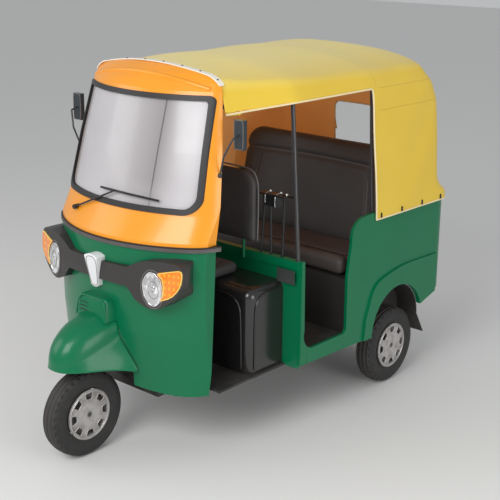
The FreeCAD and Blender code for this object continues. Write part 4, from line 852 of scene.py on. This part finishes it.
# The backrest's seams are piped in the painted highlight's pale grey.
bead("bench_back_piping", runs, 0.003, "vehicle", PIPING_HIGHLIGHT)
front_run = [(x / 100, FRONT_SEAM_Y, 0.915 - 0.002 * abs(x) / 60) for x in range(-62, 63, 4)]
bead("bench_front_piping", [front_run], 0.003, "vehicle", PIPING_DARK)
BOX_SIDE_X, BOX_FRONT_Y = 0.582, -0.4415
box_side = [(BOX_SIDE_X, y, z) for y, z in ((-0.40, 0.42), (-0.40, 0.70), (-0.395, 0.79), (-0.36, 0.835),
                                            (-0.30, 0.845), (-0.20, 0.845))]
box_front = across([(x, BOX_FRONT_Y, z) for x, z in ((0.52, 0.42), (0.52, 0.72), (0.50, 0.80), (0.44, 0.835),
                                                     (0.30, 0.84))])
other_side = [(-x, y, z) for x, y, z in box_side]
bead("seat_box_beads", [box_side, box_front, other_side], 0.0055, "vehicle", BOX_GLOSS)
BACK_SEAM_Y = -0.222
back_run = [(x, BACK_SEAM_Y, z) for x, z in ((0.437, 1.09), (0.441, 1.2), (0.441, 1.36), (0.436, 1.42),
                                             (0.41, 1.47), (0.36, 1.484), (0.2, 1.486), (0, 1.486))]
# The driver's backrest piping is drawn in the painted highlight's pale grey.
bead("driver_back_piping", [back_run], 0.0045, "vehicle", PIPING_HIGHLIGHT)


# ------------------------------------------------------------------ hood frame and shelf
# The hood's poles, bows and rails are bent steel tube, welded up and enamelled black. The rails run just
# inside the cloth's side edges. The luggage shelf behind the bench is plain painted sheet.
POLE = painted("pole_enamel", chart(70, 69, 70), 0.22, 0.0, peel=0.1, Metallic=0.4)
dress(POLE, "black_steel", "hood_frame")
dress(STEEL_BLACK, "black_steel", "luggage_shelf")


# ------------------------------------------------------------------ hood
# One sheet of coated canvas, lined with tan cloth, is stretched over the bows and clamped at the
# front. It leaves the doorways open, has a window behind, and is hemmed with cream piping.
# The hood's upright sections along Y: place, half widths at the eave and at the shoulder, and the heights
# of the shoulder and the crown.
SECTIONS = ((-1.055, 0.500, 0.440, 1.997, 2.058), (-0.540, 0.500, 0.440, 1.997, 2.058),
            (-0.155, 0.648, 0.590, 1.975, 2.060), (0.440, 0.692, 0.635, 1.968, 2.062),
            (1.545, 0.692, 0.635, 1.968, 2.062))
# Its level outlines going up: height, half width, back, and the radius of the rear corners.
TAIL = ((0.900, 0.7173, 1.3323, 0.132), (1.165, 0.7173, 1.3323, 0.132), (1.190, 0.7173, 1.2843, 0.140),
        (1.240, 0.7173, 1.2443, 0.144), (1.745, 0.6993, 1.2173, 0.156), (1.862, 0.6953, 1.1563, 0.158),
        (1.968, 0.6523, 1.0803, 0.165), (2.030, 0.6173, 1.0053, 0.178), (2.100, 0.5673, 0.7423, 0.180))
FOOT_HALF, STRAIGHT_TOP, SECTION_FOOT = 0.7173, 1.165, 1.862
CLAMP_Y, QUARTER_Y, TURN_Y = -0.548, 0.455, 0.600
EAVE_Z, HEM_Z, CENTRE_Z = 1.874, 1.115, 1.420
# The doorway's rear edge leans back by this much from the eave to the hem.
EDGE_LEAN = 0.052
PANE_HALF, PANE_LOW, PANE_HIGH, PANE_CORNER = 0.155, 1.330, 1.634, 0.045
CLAMP_HALF, CLAMP_BOW, BOWED_FROM_Y = 0.466, 0.040, -0.3
FARTHEST, HALVINGS = 1.6, 22


def between(table, value):
    """The row of a table at a value, even between its rows."""
    for low, high in zip(table, table[1:]):
        if value <= high[0]:
            share = max(0.0, (value - low[0]) / (high[0] - low[0]))
            return [a + (b - a) * share for a, b in zip(low, high)]
    return list(table[-1])


def half_width(y, z):
    """The upright section's half width at y and z, and nothing above its crown."""
    _, low_x, shoulder_x, shoulder_z, crown = between(SECTIONS, y)
    if z <= STRAIGHT_TOP:
        return FOOT_HALF
    if z <= SECTION_FOOT:
        return FOOT_HALF + (low_x - FOOT_HALF) * (z - STRAIGHT_TOP) / (SECTION_FOOT - STRAIGHT_TOP)
    if z <= shoulder_z:
        return low_x + (shoulder_x - low_x) * (z - SECTION_FOOT) / (shoulder_z - SECTION_FOOT)
    rise = crown - shoulder_z
    radius = (shoulder_x ** 2 + rise ** 2) / (2 * rise)
    left = radius ** 2 - (radius - (crown - z)) ** 2
    return math.sqrt(left) if 0 < crown - z and left > 0 else 0.0


def within(spot):
    """Whether a point is inside the hood's form."""
    x, y, z = abs(spot.x), spot.y, spot.z
    if z > 2.0619 or x > half_width(y, z):
        return False
    _, side, back, corner = between(TAIL, z)
    if x > side or y > back:
        return False
    return not (x > side - corner and y > back - corner
                and math.hypot(x - side + corner, y - back + corner) > corner)


def reach(start, way):
    """The hood's surface along a ray from inside it, found by halving."""
    low, high = 0.0, FARTHEST
    for _ in range(HALVINGS):
        middle = (low + high) / 2
        if within(start + way * middle):
            low = middle
        else:
            high = middle
    return start + way * low


# The side edge's height along Y, over the doorways and on to the back.
SIDE_EDGE = ((-0.60, 1.824), (-0.539, 1.829), (-0.155, 1.862), (0.445, EAVE_Z), (2.0, EAVE_Z))


def edge_height(y):
    """The height of the hood's side edge."""
    return between(SIDE_EDGE, y)[1]


def edge_lean(z):
    """How far the doorway's rear edge has leant back at this height."""
    return EDGE_LEAN * (EAVE_Z - z) / (EAVE_Z - HEM_Z)


def station(column, z):
    """A point of the level outline at height z: column counts from the front round to the back's middle."""
    kind, share = column
    _, side, back, corner = between(TAIL, z)
    if kind == "side":
        return Vector((min(side, half_width(share, z)), share, z))
    if kind == "run":
        y = QUARTER_Y + (back - corner - QUARTER_Y) * share
        return Vector((min(side, half_width(y, z)), y, z))
    if kind == "corner":
        a = share * math.pi / 2
        return Vector((side - corner + corner * math.cos(a), back - corner + corner * math.sin(a), z))
    if kind == "back":
        return Vector(((side - corner) * (1 - share) + PANE_HALF * share, back, z))
    return Vector((PANE_HALF * (1 - share), back, z))


# The cloth's columns, from the clamp along the doorway, the quarter and the corner to the back's middle.
DOOR_STEPS = 34
COLUMNS = [("side", CLAMP_Y + (QUARTER_Y - CLAMP_Y) * step / DOOR_STEPS) for step in range(DOOR_STEPS + 1)]
for stretch, steps in (("run", 14), ("corner", 7), ("back", 12), ("pane", 6)):
    COLUMNS += [(stretch, step / steps) for step in range(1, steps + 1)]
# Its rows: from the crown out to the eave, and then the skirt's heights, past the window, down to the hem.
CROWN_ROWS = 26
SKIRT = [EAVE_Z - (EAVE_Z - PANE_HIGH) * step / 9 for step in range(1, 10)]
SKIRT += [PANE_HIGH - (PANE_HIGH - PANE_LOW) * step / 11 for step in range(1, 12)]
SKIRT += [1.285, 1.240, 1.215, 1.190, 1.165, 1.140, HEM_Z]
ROWS = CROWN_ROWS + len(SKIRT)

BOWS = (-0.56, -0.155, 0.495, 0.87, 1.25)
BOW_SAG, EDGE_FOLD, RIPPLE = 0.007, 0.006, 0.0022
# Each fold round the back: its height and depth.
TAIL_FOLDS = ((1.985, 0.010), (1.890, 0.008))


def slack(spot):
    """How the cloth lies off its form: a sag between the bows, soft pulls, and two folds behind."""
    inward = Vector((-spot.x / 0.7, 0, -0.25)).normalized()
    move = Vector()
    for first, second in zip(BOWS, BOWS[1:]):
        if first < spot.y < second and spot.z > 1.9:
            move.z -= BOW_SAG * math.sin(math.pi * (spot.y - first) / (second - first)) ** 2
    if spot.y < 0.3 and spot.z < 1.93:
        fold = spot.z - edge_height(spot.y) - 0.035
        fade = max(0.0, min(1.0, (0.1 - spot.y) / 0.5))
        move += inward * EDGE_FOLD * fade * math.exp(-(fold / 0.017) ** 2)
    if spot.y > 0.9:
        towards_middle = Vector((-spot.x, 0.5 - spot.y, 0)).normalized()
        for height, depth in TAIL_FOLDS:
            move += towards_middle * depth * math.exp(-((spot.z - height) / 0.020) ** 2)
    if spot.z < 1.86:
        ripple = math.sin(spot.z * 13.0 + 3.0 * math.sin(spot.y * 7.0 + spot.x * 4.0))
        move += inward * RIPPLE * (1 + ripple)
    return move


def cloth_point(column, row):
    """Where one corner of the sheet lies. Crown rows fan out from a line along the hood's middle, and the
    front is bowed forward to the clamp."""
    kind, share = column
    top = station(column, EAVE_Z if kind != "side" else edge_height(share))
    if kind == "side":
        root = Vector((0, share, CENTRE_Z))
    else:
        root = Vector((0, QUARTER_Y + (TURN_Y - QUARTER_Y) * (share if kind == "run" else 1.0), CENTRE_Z))
    if row <= CROWN_ROWS:
        flat = Vector((top.x - root.x, top.y - root.y, 0))
        low = math.atan2(top.z - CENTRE_Z, flat.length)
        angle = math.pi / 2 - (math.pi / 2 - low) * row / CROWN_ROWS
        spot = reach(root, flat.normalized() * math.cos(angle) + Vector((0, 0, math.sin(angle))))
    else:
        spot = station(column, SKIRT[row - CROWN_ROWS - 1])
        if kind == "run":
            spot.y += edge_lean(spot.z) * (1 - share)
        elif kind == "side":
            spot.y += edge_lean(spot.z)
    if spot.y < BOWED_FROM_Y:
        sideways = min(abs(spot.x), CLAMP_HALF) / CLAMP_HALF
        spot.y -= CLAMP_BOW * (1 - sideways ** 2) * (BOWED_FROM_Y - spot.y) / (BOWED_FROM_Y - CLAMP_Y)
    return spot + slack(spot)


def hood_cloth():
    """Coated canvas: fine weave, a broad painted highlight towards the crown, and stitched seams along the
    tail.
    """
    finish = Finish("coated_canvas", Sheen_Weight=0.15, Specular_IOR_Level=0.35)
    height, along = finish.axis("Z"), finish.axis("Y")
    cloud = finish.noise(2.2, 4.0, 0.6)
    # Painted highlight: the canvas is paler towards the crown.
    fade = finish.step(height, 1.93, 2.05)
    cloth = finish.mix(cloud, chart(230, 196, 70), chart(218, 182, 52))
    cloth = finish.mix(fade * 0.75, cloth, chart(242, 224, 142))
    back = finish.step(along, 0.50, 0.52)
    seams = (finish.line(height, 1.747, 0.0022) + finish.line(height, 1.872, 0.0022)) * back
    seams = seams + finish.line(along, 0.497, 0.0025) * finish.step(height, 1.88, 1.89)
    finish.colour(finish.mix(seams * 0.45, cloth, chart(176, 144, 40)))
    finish.roughness(cloud * 0.12 + 0.5)
    weave = finish.maths("SINE", (along + finish.axis("X")) * 3600.0) * finish.maths("SINE", height * 3600.0)
    finish.bump(weave * 0.06 + finish.noise(55.0, 4.0, 0.6) * 0.5 + seams, 0.0016, 0.6)
    return finish.material


def hood_lining():
    """Brushed tan cloth with one upright seam on each side. Daylight through the canvas is painted on it as
    light.
    """
    # Painted light: a faint glow, and cloth colours lighter than the tan cloth.
    finish = Finish("tan_lining", Sheen_Weight=0.2, Emission_Color=chart(206, 132, 68),
                    Emission_Strength=0.2)
    cloud = finish.noise(3.5, 4.0, 0.6)
    seam = finish.line(finish.axis("Y"), 0.86, 0.003)
    cloth = finish.mix(cloud, chart(244, 190, 126), chart(230, 172, 106))
    finish.colour(finish.mix(seam * 0.6, cloth, chart(120, 76, 44)))
    finish.roughness(cloud * 0.1 + 0.75)
    finish.bump(finish.noise(420.0, 3.0) * 0.4 + seam, 0.0012, 0.5)
    return finish.material


CANVAS_THICK, DOUBLES = 0.005, 0.0006
half_count = len(COLUMNS) - 1
hood_shape = bmesh.new()
bmesh.ops.create_grid(hood_shape, x_segments=2 * half_count, y_segments=ROWS, size=0.5)
made = {}
for vert in hood_shape.verts:
    place = round((vert.co.x + 0.5) * 2 * half_count)
    row = round((vert.co.y + 0.5) * ROWS)
    index = place if place <= half_count else 2 * half_count - place
    if (index, row) not in made:
        made[index, row] = cloth_point(COLUMNS[index], row)
    spot = made[index, row].copy()
    if place > half_count:
        spot.x = -spot.x
    vert.co = spot
bare = []
for face in hood_shape.faces:
    middle = face.calc_center_median()
    doorway = middle.z < edge_height(middle.y) - 0.004 and middle.y < QUARTER_Y + edge_lean(middle.z)
    window = abs(middle.x) < PANE_HALF and PANE_LOW < middle.z < PANE_HIGH and middle.y > 1.0
    if doorway or window:
        bare.append(face)
bmesh.ops.delete(hood_shape, geom=bare, context="FACES")
bmesh.ops.remove_doubles(hood_shape, verts=hood_shape.verts, dist=DOUBLES)

# The window's square corners are drawn in to arcs. The cloth's row between UPPER_FROM and HIGH_ARC_FROM is
# drawn in towards the lower arcs too, which leaves a small spike halfway down each of the window's sides.
ARC_X, ARC_LOW, ARC_HIGH = PANE_HALF - PANE_CORNER, PANE_LOW + PANE_CORNER, PANE_HIGH - PANE_CORNER
UPPER_FROM, HIGH_ARC_FROM, PANE_REACH = 1.48, 1.5, 0.008
for vert in hood_shape.verts:
    x, y, z = vert.co
    corner = Vector((math.copysign(ARC_X, x), ARC_HIGH if z > HIGH_ARC_FROM else ARC_LOW))
    off = Vector((x, z)) - corner
    upright = PANE_LOW - PANE_REACH < z < PANE_HIGH + PANE_REACH
    on_pane = y > 1.0 and abs(x) < PANE_HALF + PANE_REACH and upright
    if on_pane and off.x * x > 0 and off.y * (z - UPPER_FROM) > 0:
        off = off.normalized() * PANE_CORNER
        vert.co.x, vert.co.z = corner.x + off.x, corner.y + off.y
bmesh.ops.recalc_face_normals(hood_shape, faces=hood_shape.faces)
crown_face = max(hood_shape.faces, key=lambda face: face.calc_center_median().z)
if crown_face.normal.z < 0:
    bmesh.ops.reverse_faces(hood_shape, faces=hood_shape.faces)
hood = piece("hood_sheet", hood_shape, "vehicle", hood_cloth())
hood.data.materials.append(hood_lining())
wall = hood.modifiers.new("cloth_thickness", "SOLIDIFY")
wall.thickness = CANVAS_THICK
wall.offset = -1.0
wall.material_offset = 1
wall.material_offset_rim = 0
smooth = hood.modifiers.new("smooth", "SUBSURF")
smooth.levels = smooth.render_levels = 1
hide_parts("hood_roof", "hood_quarters", "hood_rear")

CREAM = painted("cream_piping", chart(243, 224, 178), 0.45, 0.0)
hems = []
for sign in (1, -1):
    run = [cloth_point(column, CROWN_ROWS) for column in COLUMNS[:DOOR_STEPS:3]]
    run += [cloth_point(COLUMNS[DOOR_STEPS], row) for row in range(CROWN_ROWS, ROWS + 1, 3)]
    run += [cloth_point(column, ROWS) for column in COLUMNS[DOOR_STEPS:]]
    hems.append([Vector((sign * spot.x, spot.y, spot.z)) for spot in run])
piping = bead("hood_piping", hems, 0.0055, "vehicle", CREAM)
ARCS = ((ARC_X, ARC_HIGH), (-ARC_X, ARC_HIGH), (-ARC_X, ARC_LOW), (ARC_X, ARC_LOW))
PIPED_CORNER = PANE_CORNER + 0.001
pane_edge = []
for quarter, (middle_x, middle_z) in enumerate(ARCS):
    for step in range(5):
        a = (quarter + step / 4) * math.pi / 2
        spot = Vector((middle_x + PIPED_CORNER * math.cos(a), 0, middle_z + PIPED_CORNER * math.sin(a)))
        spot.y = between(TAIL, spot.z)[2] - 0.002
        pane_edge.append(spot)
window_piping = bead("rear_window_piping", [pane_edge], 0.0045, "vehicle", CREAM, True)

# Four toggles on each quarter hold the hem to the tub.
TOGGLE_SIZE, TOGGLE_PROUD, TOGGLE_UP, TOGGLE_SOFT = (0.008, 0.011, 0.030), 0.003, 0.020, 0.003
turns = bmesh.new()
for sign in (1, -1):
    for share in (0.06, 0.36, 0.68, 0.97):
        foot = cloth_point(("run", share), ROWS)
        place = (sign * (foot.x + TOGGLE_PROUD), foot.y, foot.z + TOGGLE_UP)
        toggle = bmesh.ops.create_cube(turns, size=1.0)["verts"]
        bmesh.ops.scale(turns, vec=TOGGLE_SIZE, verts=toggle)
        bmesh.ops.translate(turns, vec=place, verts=toggle)
bmesh.ops.bevel(turns, geom=turns.edges[:], offset=TOGGLE_SOFT, affect="EDGES", segments=2, profile=0.5,
                material=-1)
toggles = piece("hood_toggles", turns, "vehicle", SOCKET_BLACK)


# ------------------------------------------------------------------ brow
# A rounded brow stands out of the cab's steel just under the hood's clamp. It is pressed in the same
# sheet as the windscreen's surround, and follows the roof's curve across it.
BROW_TOP, BROW_DROP, BROW_HALF, BROW_STEP, BROW_R = 2.012, 0.062, 0.44, 0.0205, 0.014
BROW_SUNK = Vector((0, 0.006, -0.002))
cab_faces = surface("windscreen_surround")
brow = []
for step in range(-21, 22):
    x = step * BROW_STEP
    ahead = Vector((x, -1.4, BROW_TOP - BROW_DROP * (x / BROW_HALF) ** 2))
    hit = cab_faces.ray_cast(ahead, BACKWARDS)[0]
    if hit:
        brow.append(hit + BROW_SUNK)
bead("brow_bead", [brow], BROW_R, "vehicle", YELLOW)


# ------------------------------------------------------------------ roof strip
# A strip of sheet metal, painted cream, clamps the hood's front edge to the cab. Seven dark round-headed
# screws go through it into the roof's edge.
STRIP = painted("strip_cream", chart(246, 240, 226), 0.35, 0.0)
dress(STRIP, "cream_trim", "roof_trim_strip")
SCREW_R, SCREW_FLAT = 0.0062, 0.55
DOWNWARDS = Vector((0, 0, -1))
strip_faces = surface("roof_trim_strip")
studs = bmesh.new()
for x in (-0.368, -0.193, -0.042, 0.093, 0.220, 0.338, 0.443):
    hits = [strip_faces.ray_cast(Vector((x, -0.62 + 0.004 * step, 2.3)), DOWNWARDS)[0] for step in range(30)]
    hits = [hit for hit in hits if hit]
    if hits:
        middle = sum(hits, Vector()) / len(hits)
        head = bmesh.ops.create_uvsphere(studs, u_segments=14, v_segments=8, radius=SCREW_R)["verts"]
        bmesh.ops.scale(studs, vec=(1, 1, SCREW_FLAT), verts=head)
        bmesh.ops.translate(studs, vec=middle, verts=head)
piece("strip_studs", studs, "vehicle", SOCKET_BLACK)


# ------------------------------------------------------------------ tail lamps and plates
# Three round red lamps with moulded lenses are stacked on each rear corner, in black rims. Two blank sheet
# metal plates are screwed on: a pale one behind, and a dark one on the partition beside the doorway.
dress(moulded_lens("tail_lens", chart(176, 24, 20), chart(120, 8, 10), 420.0), "tail_lens", "tail_lamps")
TAIL_R, RIM_R, RIM_CORD, RIM_POINTS = 0.042, 0.0455, 0.0075, 14
lamp_low, lamp_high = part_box("tail_lamps")
lamp_heights = (lamp_low[2] + TAIL_R, (lamp_low[2] + lamp_high[2]) / 2, lamp_high[2] - TAIL_R)
angles = [math.tau * step / RIM_POINTS for step in range(RIM_POINTS)]
rims = []
for sign in (1, -1):
    x = sign * (lamp_high[0] - TAIL_R)
    for z in lamp_heights:
        for y in (1.355, 1.332):
            rims.append([(x + RIM_R * math.cos(a), y, z + RIM_R * math.sin(a)) for a in angles])
bead("tail_lamp_rims", rims, RIM_CORD, "vehicle", MOULDED, True)
PLATE = painted("blank_plate", chart(206, 204, 198), 0.4, 0.0)
DARK_PLATE = painted("dark_blank_plate", chart(62, 66, 64), 0.4, 0.0)
PLATES = (("rear_plate", (-0.17, 1.324, 0.925), (0.17, 1.327, 1.025), PLATE),
          ("partition_plate", (0.556, -0.1935, 0.879), (0.679, -0.1905, 0.957), DARK_PLATE))
for plate_name, low, high, paint in PLATES:
    piece(plate_name, slab_of_foam(low, high, soft=0.001), "vehicle", paint, False)


# ------------------------------------------------------------------ floor, light and camera
# A pale studio stands round the finished vehicle: one seamless matt floor, a key lamp ahead, a side lamp
# on the vehicle's left and a weak fill lamp on its right, under an even pale surround.
FLOOR_HALF = 30.0
floor_shape = bmesh.new()
bmesh.ops.create_grid(floor_shape, x_segments=1, y_segments=1, size=FLOOR_HALF)
floor_mesh = bpy.data.meshes.new("studio_floor")
floor_shape.to_mesh(floor_mesh)
floor_shape.free()
floor = bpy.data.objects.new("studio_floor", floor_mesh)
bpy.context.scene.collection.objects.link(floor)
floor_finish = Finish("studio_floor", Roughness=0.9)
floor_finish.colour(chart(226, 225, 223))
floor_mesh.materials.append(floor_finish.material)

world = bpy.data.worlds.new("studio")
bpy.context.scene.world = world
world.use_nodes = True
background = world.node_tree.nodes["Background"]
background.inputs["Color"].default_value = (0.88, 0.90, 0.92, 1.0)
background.inputs["Strength"].default_value = 0.55


def lamp(name, place, aim, size, watts):
    """A square soft lamp pointed at a place."""
    data = bpy.data.lights.new(name, "AREA")
    data.size = size
    data.energy = watts
    item = bpy.data.objects.new(name, data)
    item.location = place
    item.rotation_euler = (Vector(aim) - Vector(place)).to_track_quat("-Z", "Y").to_euler()
    bpy.context.scene.collection.objects.link(item)


lamp("key_lamp", (1.6, -5.8, 4.6), (0, -0.3, 0.9), 3.4, 250)
lamp("side_lamp", (5.4, -0.6, 1.7), (0, 0.3, 1.3), 2.6, 80)
lamp("fill_lamp", (-4.5, -4.5, 3.5), (0, -0.3, 0.9), 3.0, 60)

EYE_PLACE = (4.1644, -4.4769, 2.7458)
EYE_YAW, EYE_PITCH, EYE_ROLL = 0.7264, 0.2938, 0.0092
eye = bpy.data.cameras.new("eye")
eye.lens = 77.6
eye.sensor_width = 36.0
camera = bpy.data.objects.new("eye", eye)
aimed = Matrix.Rotation(EYE_YAW, 4, "Z") @ Matrix.Rotation(math.pi / 2 - EYE_PITCH, 4, "X")
camera.matrix_world = Matrix.Translation(EYE_PLACE) @ aimed @ Matrix.Rotation(EYE_ROLL, 4, "Z")
bpy.context.scene.collection.objects.link(camera)
bpy.context.scene.camera = camera
bpy.context.scene.view_settings.view_transform = "Standard"
